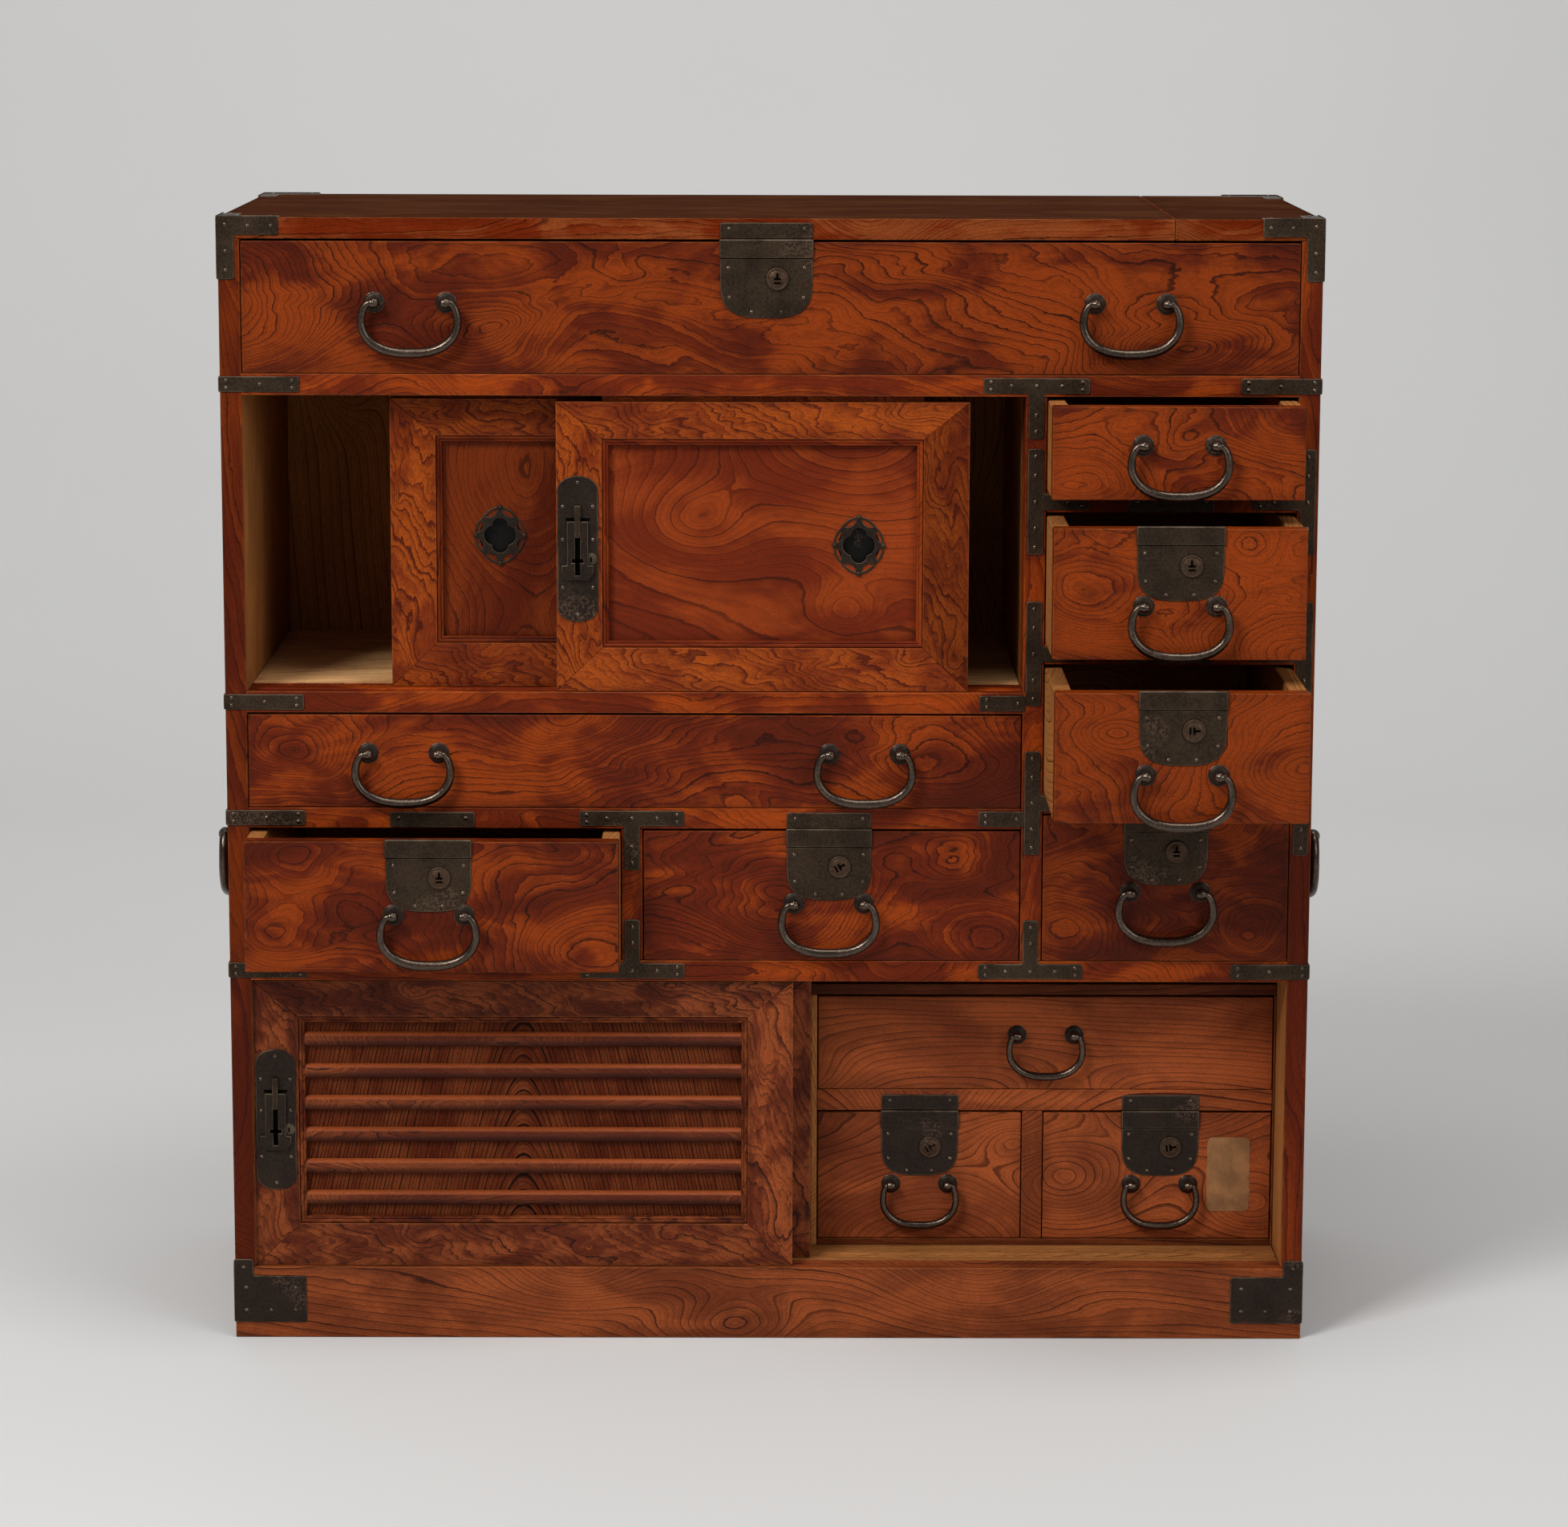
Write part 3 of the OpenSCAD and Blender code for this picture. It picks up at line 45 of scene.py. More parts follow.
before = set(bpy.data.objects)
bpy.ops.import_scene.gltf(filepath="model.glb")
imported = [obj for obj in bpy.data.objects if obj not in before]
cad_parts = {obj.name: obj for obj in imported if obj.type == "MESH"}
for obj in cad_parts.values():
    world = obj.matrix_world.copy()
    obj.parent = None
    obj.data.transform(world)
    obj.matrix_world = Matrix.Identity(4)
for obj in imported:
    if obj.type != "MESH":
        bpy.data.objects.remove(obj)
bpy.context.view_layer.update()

# Geometry is worked out in millimetres and put into meshes in metres. The boards' own coordinates,
# which the timber finishes read, are in centimetres.
MM = 0.001
CM = 0.1
X = np.array([1.0, 0.0, 0.0])
Y = np.array([0.0, 1.0, 0.0])
Z = np.array([0.0, 0.0, 1.0])

# Faces and levels of the case
FRONT = -180.0
REAR = 172.0
BACK = 180.0
SIDE = 435.0
IN = 418.0
BASE = 59.0
LOW_TOP = 298.0
TWIN = 315.0
TWIN_TOP = 423.0
WIDE = 440.0
WIDE_TOP = 517.0
CUPBOARD = 534.0
CUPBOARD_TOP = 771.0
TOP = 788.0
TOP_TOP = 894.0
CASE_TOP = 911.0
RAIL = 17.0
RAIL_D = 45.0
LINTEL_D = 52.0
SHELF = 11.0
POST = (202.0, 219.0)
TWIN_POST = (-119.0, -102.0)
COLUMN_RAILS = (696.0, 574.0, 453.0)
BASE_FRONT = 24.0
BASE_REAR = 17.0
BEARER = 20.0
TOP_JOINT = 318.0
BACK_BOARDS = 6
SEAM = 0.2

# Door grooves, behind the front face
UPPER_GROOVES = (13.0, 37.5)
LOWER_GROOVES = (15.0, 39.5)
GROOVE = 9.0
SILL_GROOVE = 3.0
HEAD_GROOVE = 9.0

# Inner cabinet
INNER_FRONT = -111.0
INNER_BACK = 171.8
INNER_LEFT = 34.4
INNER_IN = (39.6, 416.0)
INNER_POST = (209.1, 226.1)
INNER_FLOOR = 65.0
INNER_RAIL = (174.0, 192.0)
INNER_RAIL_D = 24.0
INNER_SHELF = 8.0
INNER_BACK_T = 4.0
INNER_CEILING = 272.0
INNER_TOP = 281.0

# Bails: width, distance between the two pins, drop, and the bar's half thickness at the waist, at the
# belly and at the start
MAIN_BAIL = dict(width=82.5, pins=56.5, drop=43.5, waist=3.3, belly=4.1, start=2.8)
INNER_BAIL = dict(width=65.5, pins=47.0, drop=37.0, waist=2.7, belly=3.4, start=2.3)
SIDE_BAIL = dict(width=112.0, pins=80.0, drop=58.0, waist=4.0, belly=5.4, start=3.8)
SIDE_PINS_Z = 392.0
SIDE_PINS_OUT = 18.3
SIDE_EYE = 1.3

# The two makes of drawer: thickness of the front and the sides, the bails, how far their eyes stand out
# and the scale of those, the front's finish, and the number of the lock's finish among the irons'
MAIN_MAKE = dict(front=17.0, side=14.0, bail=MAIN_BAIL, out=10.0, eye=1.0, wood="front_lacquer", iron=0)
INNER_MAKE = dict(front=14.0, side=9.0, bail=INNER_BAIL, out=8.6, eye=0.94, wood="tan_lacquer", iron=2)
DRAWER_BACK = 9.0
DRAWER_BOTTOM = (1.0, 8.0)
DRAWER_DROP = 1.5

# Locks: width and height of the plate, the middle of the keyhole disc right of and below the top middle of
# the plate, the lowest and highest edge of the band with its thickness, nails as shares of the plate's width
# and height, and the half width, foot and head of the lock case, below the drawer's top edge
MAIN_LOCK = (68.0, 56.5)
TOP_LOCK = (73.0, 60.0)
INNER_LOCK = (63.5, 53.5)
DISC = (8.6, 29.0)
BAND = (-13.0, 2.2)
BAND_T = 3.0
LOCK_NAILS = ((0.41, 0.34), (0.4, 0.73), (0.16, 0.92))
LOCK_CASE = (22.0, 44.0, 14.0)

# The slots in a keyhole disc, from its middle: (x, z, width, height)
KEYHOLE = ((0, 2.4, 1.9, 4.8), (0, 0, 5.6, 1.8), (0, -3.1, 5.6, 1.7))

# Drawers: bails as (name, x, drop below the top edge); the lock's place along X, its size, and its
# disc's name and turn in degrees; the front's light, a painted light and shade for how much light falls on
# that front together with its own tone, and how warm its lacquer is; the front's flow (how fast the growth
# height rises along the grain and across it, and growth lines for each unit of it); and its eyes, the hills
# of that height, as (along, across, radius) in centimetres from its middle
DRAWERS = {
    "top_drawer": dict(
        bails=[("top_handle_left", -284.0, 48.0), ("top_handle_right", 284.0, 48.0)],
        lock=(-3.4, TOP_LOCK, "top_lock_disc", 0), light=0.7, warm=0.04,
        flow=(0.1, 0.4, 2.1), eyes=[(-44, -1, 8), (-23.2, -2.5, 3.6), (32.4, -3.7, 4.2)]),
    "wide_drawer": dict(
        bails=[("wide_handle_left", -293.0, 31.0), ("wide_handle_right", 76.0, 31.0)],
        lock=None, light=0.86, warm=-0.02,
        flow=(-0.1, 0.5, 1.8), eyes=[(24.9, -0.5, 4.2), (-27, 0.5, 3.4), (-6, 4, 4)]),
    "twin_drawer_left": dict(
        bails=[("twin_handle_left", -270.5, 59.0)],
        lock=(-270.5, MAIN_LOCK, "twin_left_lock_disc", 0), light=0.76, warm=0.02,
        flow=(0.12, 0.3, 1.7), eyes=[(-12.5, -2.2, 2.4), (12.4, -4.3, 6.5), (-11, 3.6, 2.4)]),
    "twin_drawer_right": dict(
        bails=[("twin_handle_right", 47.8, 59.0)],
        lock=(47.8, MAIN_LOCK, "twin_right_lock_disc", 60), light=0.86, warm=-0.06,
        flow=(-0.2, 0.4, 2.0), eyes=[(-3.2, -0.8, 4.6), (10, 3, 2.2), (13, -4, 4)]),
    "column_drawer_1": dict(
        bails=[("column_handle_1", 318.5, 30.0)], lock=None, light=0.79, warm=0.06,
        flow=(0.16, 0.36, 1.9), eyes=[(-9, -3.5, 4.6), (0.4, 1.2, 1.5), (8.5, 3, 3)]),
    "column_drawer_2": dict(
        bails=[("column_handle_2", 318.5, 60.5)],
        lock=(318.5, MAIN_LOCK, "column_2_lock_disc", 0), light=0.8, warm=0.08,
        flow=(0.22, 0.34, 2.1), eyes=[(-8.5, 0, 4.2), (8, -6.5, 6), (5, 4, 1.8)]),
    "column_drawer_3": dict(
        bails=[("column_handle_3", 318.5, 64.0)],
        lock=(318.5, MAIN_LOCK, "column_3_lock_disc", 90), light=0.74, warm=0.1,
        flow=(0.3, 0.2, 1.5), eyes=[(-5.5, 1.9, 1.5), (8.5, -1, 4), (-1, -4.5, 2.2)]),
    "column_drawer_4": dict(
        bails=[("column_handle_4", 318.5, 62.0)],
        lock=(318.5, MAIN_LOCK, "column_4_lock_disc", 0), light=0.64, warm=0.0,
        flow=(0.1, 0.3, 2.1), eyes=[(-8.5, -4.5, 6), (7, -3, 3), (4, 5, 2.5)]),
    "inner_drawer_top": dict(
        bails=[("inner_handle_top", 227.8, 32.0)], lock=None, light=1.65, warm=0.0,
        flow=(0.03, 0.9, 1.9), eyes=[(-22, -4, 4), (2, -5.5, 3), (20, 6, 3)]),
    "inner_drawer_left": dict(
        bails=[("inner_handle_left", 124.6, 60.5)],
        lock=(124.6, INNER_LOCK, "inner_left_lock_disc", 60), light=1.59, warm=0.0,
        flow=(0.02, 0.2, 2.0), eyes=[(0.5, -8, 9), (8, 3, 2), (0, 0, 0)]),
    "inner_drawer_right": dict(
        bails=[("inner_handle_right", 323.5, 60.5)],
        lock=(323.5, INNER_LOCK, "inner_right_lock_disc", 80), light=1.65, warm=0.06,
        flow=(0.05, 0.3, 1.8), eyes=[(-7.8, -0.6, 3.6), (8, -2.5, 2.6), (2, 7, 3.4)]),
}

# Undersides of the rails over the locked drawers
STRIKE_LEVELS = {
    "top_drawer": TOP_TOP,
    "twin_drawer_left": TWIN_TOP,
    "twin_drawer_right": TWIN_TOP,
    "column_drawer_2": COLUMN_RAILS[0] - RAIL,
    "column_drawer_3": COLUMN_RAILS[1] - RAIL,
    "column_drawer_4": COLUMN_RAILS[2] - RAIL,
    "inner_drawer_left": INNER_RAIL[0],
    "inner_drawer_right": INNER_RAIL[0],
}

# Figures of the doors' boards and of the base: a flow and three eyes, as the drawers' fronts have them
PANEL_FIGURE = ((0.12, 0.22, 1.0), [(-5.6, 1.6, 3.6), (6.4, 8.8, 6.4), (6.5, -5.6, 1.7)])
FRAME_FIGURE = ((0.42, 0.75, 1.3), [(-9, 0.4, 1.1), (5, -0.5, 0.9), (11.5, 0.6, 0.8)])
REAR_PANEL_FIGURE = ((0.2, 0.12, 1.7), [(4.5, -5.9, 5.0), (-14, -6.5, 5), (0, 8, 4)])
SLAT_GROUND_FIGURE = ((0.42, 1.9, 1.6), [(0, 0, 0), (0, 0, 0), (0, 0, 0)])
BASE_FIGURE = ((0.08, 0.75, 1.5), [(-16, 3.4, 3.4), (-3, -2.2, 3.2), (17, 3.6, 4.4)])

# Sliding doors: width, height, and the height of the tongue over the frame; then the frame's bars, the
# tongue under it, the panel, the gap at a mitre, the bead with the size of the board that its figure is
# read from, the slats, and the places of locks and finger pulls
UPPER_DOOR = (328.2, 231.5, 13.0)
LOWER_DOOR = (437.3, 237.0, 9.5)
DOOR_FOOT = 2.0
STILE = 36.5
DOOR_TOP = 29.5
DOOR_BOTTOM = 35.0
DOOR_T = 20.0
TONGUE_T = 8.0
PANEL_BACK = 8.0
PANEL_T = 6.0
MITRE = 0.1
BEAD = 5.0
BEAD_STOCK = 200.0
SLATS = 6
SLAT_STEP = 26.5
SLAT_R = 6.0
UPPER_LOCK_AT = (-152.95, 648.7)
LOWER_LOCK_AT = (-400.25, 181.4)
FRONT_PULL_AT = (70.7, 651.0)
REAR_PULL_AT = (-216.5, 655.6)
CUP_R = 16.5

# Irons: thickness of the plates, width of the straps, half length of a T plate's head, how far a flap laps
# over the case's front edge, and the foot of the base's corner irons
PLATE = 1.2
STRAP = 12.5
TEE_HALF = 42.25
LAP = 0.6
IRON_FOOT = 12.7

# A door's lock: half width and half height of its plate, and the upright slot in it and in its hasp as
# (x0, z0, x1, z1)
DOOR_PLATE = (16.25, 58.5)
SLOT = (-1.95, -20.7, 1.95, 13.3)

# The slip on the right inner drawer, as (x0, z0, x1, z1), and its thickness
SLIP = (362.5, 88.8, 398.2, 151.7)
SLIP_T = 0.2


def tone(red, green, blue):
    """A colour read as three bytes, as the linear values that the shaders take."""
    share = np.array([red, green, blue]) / 255
    linear = np.where(share <= 0.04045, share / 12.92, ((share + 0.055) / 1.055) ** 2.4)
    return tuple(float(value) for value in linear)


def colour(name, description, red, green, blue):
    """A colour property with its default."""
    return FloatVectorProperty(name=name, description=description, subtype="COLOR", size=3,
                               default=tone(red, green, blue), min=0.0, max=1.0)


def length(name, description, millimetres):
    """A length property with its default."""
    return FloatProperty(name=name, description=description, default=millimetres * MM, unit="LENGTH",
                         precision=5)


class ChestSizes(PropertyGroup):
    """Small sizes of the chest's making."""

    ease: length("Board easing", "How far the edges of the boards are eased", 0.9)
    plate_ease: length("Plate easing", "How far the rims of the iron plates are rounded", 0.45)
    # The band is painted bright where it looks up, worn metal with a painted highlight, and dark where it
    # looks down, a painted shade.
    rim: length("Plate rim", "Width of the worn band along a plate's rim", 1.5)
    nail: length("Nail head", "Radius of a nail's domed head", 1.75)
    washer: length("Washer", "Radius of the domed washer under a bail's eye", 8.4)
    ball: length("Bail eye", "Radius of the round head that a bail turns in", 4.5)


class ChestColours(PropertyGroup):
    """Colours of the chest's finishes."""

    lacquer: colour("Lacquer", "Red-brown lacquer of the case and drawers", 112, 37, 11)
    amber: colour("Amber", "Brighter places in the lacquered fronts", 154, 62, 13)
    stain: colour("Stain", "Deeper red places in the lacquered fronts", 82, 26, 10)
    growth: colour("Growth line", "Growth lines of the lacquered wood", 38, 14, 7)
    burl: colour("Burl", "Upper doors' frames", 140, 56, 16)
    flame: colour("Flame", "Brightest places of the upper doors' frames", 164, 74, 18)
    russet: colour("Russet", "Brighter places of the base and the inner drawers", 132, 64, 30)
    umber: colour("Umber", "Lower doors", 100, 42, 20)
    tan: colour("Tan", "Inner drawers' fronts", 114, 54, 26)
    # The colour that what looks up is darkened towards, on the upper face of the top board.
    darker_top: colour("Darker top", "Upper face of the top board", 56, 36, 24)
    softwood: colour("Softwood", "Unfinished wood of the drawers and the inside", 172, 112, 62)
    # A paler copy of the softwood on the cupboard's floor: painted light where light falls on that floor.
    lit_floorboard: colour("Floorboard", "Unfinished wood of the cupboard's floor", 184, 142, 96)
    softwood_line: colour("Softwood line", "Growth lines of the unfinished wood", 86, 48, 20)
    iron: colour("Iron", "Forged iron plates", 51, 39, 27)
    # A darker copy of the iron. On the base's corner irons it is a painted shade, for a low corner that gets
    # less light; it is also used for the washers, the hasps, the doors' plates, the inner drawers' locks and
    # strikes, and the ring round each keyhole disc.
    darker_iron: colour("Darker iron", "Corner irons of the base and the doors' plates", 42, 32, 25)
    disc_iron: colour("Disc iron", "Keyhole discs, browner than their plates", 68, 50, 36)
    # Also a painted highlight: rims are made this bright only where they look up.
    worn_iron: colour("Worn iron", "Rims of the plates, where they are rubbed bright", 120, 104, 86)
    polish: colour("Polish", "Bails and nail heads", 84, 72, 62)
    # Near black: painted shade on rims and slats that look down and in slots that stand for holes; also the
    # grain lines of the slats' ground and the pulls' cups.
    near_black: colour("Near black", "Deep dark places: keyholes and pulls' cups", 9, 8, 6)
    rust: colour("Rust", "Specks on the plates", 74, 34, 20)
    slip: colour("Slip", "Blank slip on an inner drawer", 148, 102, 60)
    paving: colour("Floor", "Floor and backdrop of the studio", 212, 211, 209)


def size(name):
    """One of the small sizes, in millimetres."""
    return getattr(bpy.context.scene.chest_sizes, name) / MM


def paint(name):
    """One of the colours, as four linear values."""
    return (*getattr(bpy.context.scene.chest_colours, name), 1.0)


class Socket:
    """A value in a material's nodes. Arithmetic on it adds Math nodes."""

    def __init__(self, nodes, out):
        self.nodes = nodes
        self.out = out

    def math(self, operation, *others):
        """A Math node on this value and the others."""
        terms = dict(enumerate((self, *others)))
        return self.nodes.node("ShaderNodeMath", {"operation": operation}, terms)[0]

    def __add__(self, other):
        return self.math("ADD", other)

    __radd__ = __add__

    def __mul__(self, other):
        return self.math("MULTIPLY", other)

    __rmul__ = __mul__

    def __sub__(self, other):
        return self.math("SUBTRACT", other)

    def __rsub__(self, other):
        return self.nodes.value_of(other).math("SUBTRACT", self)

    def __truediv__(self, other):
        return self.math("DIVIDE", other)

    def low(self, other):
        """The lower of two values."""
        return self.math("MINIMUM", other)

    def high(self, other):
        """The higher of two values."""
        return self.math("MAXIMUM", other)

    def rise(self, start, end):
        """0 before start and 1 after end, with a soft step between; it falls if start is above end."""
        made = self.nodes.node("ShaderNodeMapRange", {"interpolation_type": "SMOOTHSTEP", "clamp": True},
                               {0: self, 1: start, 2: end, 3: 0.0, 4: 1.0})
        return made[0]


class Nodes:
    """Builds the nodes of one material or world."""

    def __init__(self, owner):
        owner.use_nodes = True
        self.tree = owner.node_tree
        self.tree.nodes.clear()

    def node(self, kind, settings=None, inputs=None):
        """Adds a node of a kind, with its settings first and then its sockets' values or links."""
        made = self.tree.nodes.new(kind)
        for key, value in (settings or {}).items():
            setattr(made, key, value)
        for key, value in (inputs or {}).items():
            if isinstance(value, Socket):
                self.tree.links.new(value.out, made.inputs[key])
            else:
                made.inputs[key].default_value = value
        return [Socket(self, out) for out in made.outputs]

    def value_of(self, number):
        """A plain number as a value."""
        return self.node("ShaderNodeMath", {"operation": "ADD"}, {0: float(number), 1: 0.0})[0]

    def field(self, name):
        """A piece's own attribute: its colour, vector and single value."""
        return self.node("ShaderNodeAttribute", {"attribute_name": name})

    def split(self, vector):
        """The three numbers of a vector."""
        return self.node("ShaderNodeSeparateXYZ", None, {0: vector})

    def join(self, x, y, z):
        """A vector of three numbers."""
        return self.node("ShaderNodeCombineXYZ", None, {0: x, 1: y, 2: z})[0]

    def scaled(self, vector, factors):
        """A vector with each part multiplied by its own factor."""
        return self.node("ShaderNodeVectorMath", {"operation": "MULTIPLY"}, {0: vector, 1: factors})[0]

    def moved(self, vector, step):
        """A vector with another added."""
        return self.node("ShaderNodeVectorMath", {"operation": "ADD"}, {0: vector, 1: step})[0]

    def noise(self, vector, scale, detail, roughness=0.5, twist=0.0):
        """Smooth noise between 0 and 1."""
        return self.node("ShaderNodeTexNoise", None, {"Vector": vector, "Scale": scale, "Detail": detail,
                                                      "Roughness": roughness, "Distortion": twist})[0]

    def mix(self, share, first, second):
        """A colour between two others."""
        return self.node("ShaderNodeMix", {"data_type": "RGBA"}, {0: share, 6: first, 7: second})[2]

    def lit(self, base, factor):
        """A colour made brighter or darker by a factor."""
        base = base if isinstance(base, Socket) else base[:3]
        return self.node("ShaderNodeVectorMath", {"operation": "SCALE"}, {0: base, "Scale": factor})[0]

    def bump(self, height, strength, distance):
        """A normal from a height."""
        return self.node("ShaderNodeBump", None,
                         {"Strength": strength, "Distance": distance, "Height": height})[0]

    def surface(self, **inputs):
        """Ends the material in one shader with these sockets."""
        sockets = {key.replace("_", " "): value for key, value in inputs.items()}
        shader = self.node("ShaderNodeBsdfPrincipled", None, sockets)[0]
        self.node("ShaderNodeOutputMaterial", None, {0: shader})


# How each timber is figured, from what most lacquered boards share or from the softwood: its plain,
# brighter and deeper colours and its lines; noise along and across the grain per centimetre, and how far
# it sways the growth height; a finer ripple of the lines; how many lines there are against the board's own
# number; the strengths of lines, fibre and pores; its gloss; and how closely its bright and deep places
# lie. Some also have bold, how early each line begins to darken; a share by which what looks up is
# darkened; a share of painted shade over a slat's lower half, which comes with a painted highlight along
# the slat's upper edge; and heart, whose lines close towards the board's middle.
LACQUER = dict(base="lacquer", patch="amber", deep="lacquer", line="growth", ripple=0.3, lines=1.5,
               fibre=0.3, pores=0.55, coat=0.05, rough=0.38, gloss=0.05, blotch=0.1)
SOFTWOOD = dict(base="softwood", patch="softwood", deep="softwood", line="softwood_line", along=0.012,
                across=0.1, sway=1.6, ripple=0.05, lines=2.2, depth=0.75, fibre=0.5, pores=0.6, coat=0.0,
                rough=0.7, gloss=0.0, blotch=0.1)
TIMBERS = {
    "front_lacquer": dict(LACQUER, deep="stain", along=0.07, across=0.17, sway=4.4, depth=0.68,
                          rough=0.34, gloss=0.06),
    "case_lacquer": dict(LACQUER, along=0.05, across=0.2, sway=3.6, depth=0.58),
    "side_lacquer": dict(LACQUER, along=0.04, across=0.16, sway=5.0, lines=1.2, depth=0.55, blotch=0.035),
    "top_lacquer": dict(LACQUER, patch="russet", along=0.05, across=0.14, sway=6.0, lines=1.8, depth=0.75,
                        pores=0.4, coat=0.0, rough=0.5, gloss=0.0, darker_top=0.85),
    "base_lacquer": dict(LACQUER, base="tan", patch="russet", deep="umber", along=0.03, across=0.2,
                         sway=2.6, ripple=0.2, lines=1.4, depth=0.72, pores=0.5, coat=0.04, rough=0.42),
    "tan_lacquer": dict(LACQUER, base="tan", patch="russet", deep="umber", along=0.03, across=0.08,
                        sway=3.0, ripple=0.12, lines=1.3, depth=0.66, fibre=0.26, pores=0.5, coat=0.03,
                        rough=0.44, blotch=0.08),
    "burl_lacquer": dict(LACQUER, base="burl", patch="flame", line="stain", along=0.16, across=0.4,
                         sway=3.5, ripple=1.0, lines=1.2, depth=1.0, fibre=0.4, pores=0.8, coat=0.06,
                         rough=0.34, gloss=0.06, blotch=0.2, bold=0.1),
    "panel_lacquer": dict(LACQUER, patch="burl", along=0.07, across=0.14, sway=1.8, ripple=0.26,
                          lines=1.25, depth=0.56, fibre=0.26, pores=0.5, coat=0.06, rough=0.34,
                          gloss=0.06, blotch=0.07, bold=-0.06),
    "umber_lacquer": dict(LACQUER, base="umber", patch="russet", deep="stain", along=0.1, across=0.34,
                          sway=3.4, ripple=0.9, lines=1.3, depth=0.75, fibre=0.36, pores=0.7, coat=0.06,
                          rough=0.36, gloss=0.06, blotch=0.25, bold=0.08),
    "slat_lacquer": dict(LACQUER, base="umber", patch="russet", deep="stain", along=0.03, across=0.8,
                         sway=1.6, ripple=0.2, lines=2.6, depth=0.7, fibre=0.5, pores=0.6, rough=0.36,
                         gloss=0.1, blotch=0.03, underside_shade=0.55),
    "slat_ground": dict(LACQUER, base="umber", patch="tan", deep="stain", line="near_black", along=0.03,
                        across=0.1, sway=1.2, ripple=0.08, lines=1.1, depth=1.3, fibre=0.36, pores=0.6,
                        coat=0.0, rough=0.46, gloss=0.04, blotch=0.15, heart=True),
    "raw_softwood": SOFTWOOD,
    # The softwood in the paler colour: painted light on the cupboard's floor.
    "lit_floor_softwood": dict(SOFTWOOD, base="lit_floorboard", patch="lit_floorboard"),
}


def eye_hill(nodes, place, name):
    """A hill of the growth height: its radius times e to minus the squared distance from its middle, which
    is counted in radii and is stretched along the grain."""
    along, across, radius = nodes.split(nodes.field(name)[1])
    far = (place[0] - along) / (radius * 1.5)
    side = (place[1] - across) / radius
    return ((far * far + side * side) * -1.0).math("EXPONENT") * radius * 1.35


def growth_height(nodes, wood, here, place, seed):
    """A height over the board whose level lines are the growth lines: a slope, slow noise, and three
    hills."""
    flow = nodes.split(nodes.field("flow")[1])
    slow = nodes.scaled(here, (wood["along"], wood["across"], wood["across"]))
    sway = nodes.noise(slow, 1.0, 1.3, 0.4, 0.9) - 0.5
    ripple = nodes.noise(nodes.scaled(here, (0.7, 1.7, 1.7)), 1.0, 3.0, 0.62) - 0.5
    across = place[1]
    if wood.get("heart"):
        across = (place[1] * place[1] + 6.0).math("SQRT")
    height = place[0] * flow[0] + across * flow[1] + place[2] * 0.6 + seed
    height = height + sway * wood["sway"] + ripple * wood["ripple"]
    for name in ("eye_a", "eye_b", "eye_c"):
        height = height + eye_hill(nodes, place, name)
    return height * flow[2] * wood["lines"]


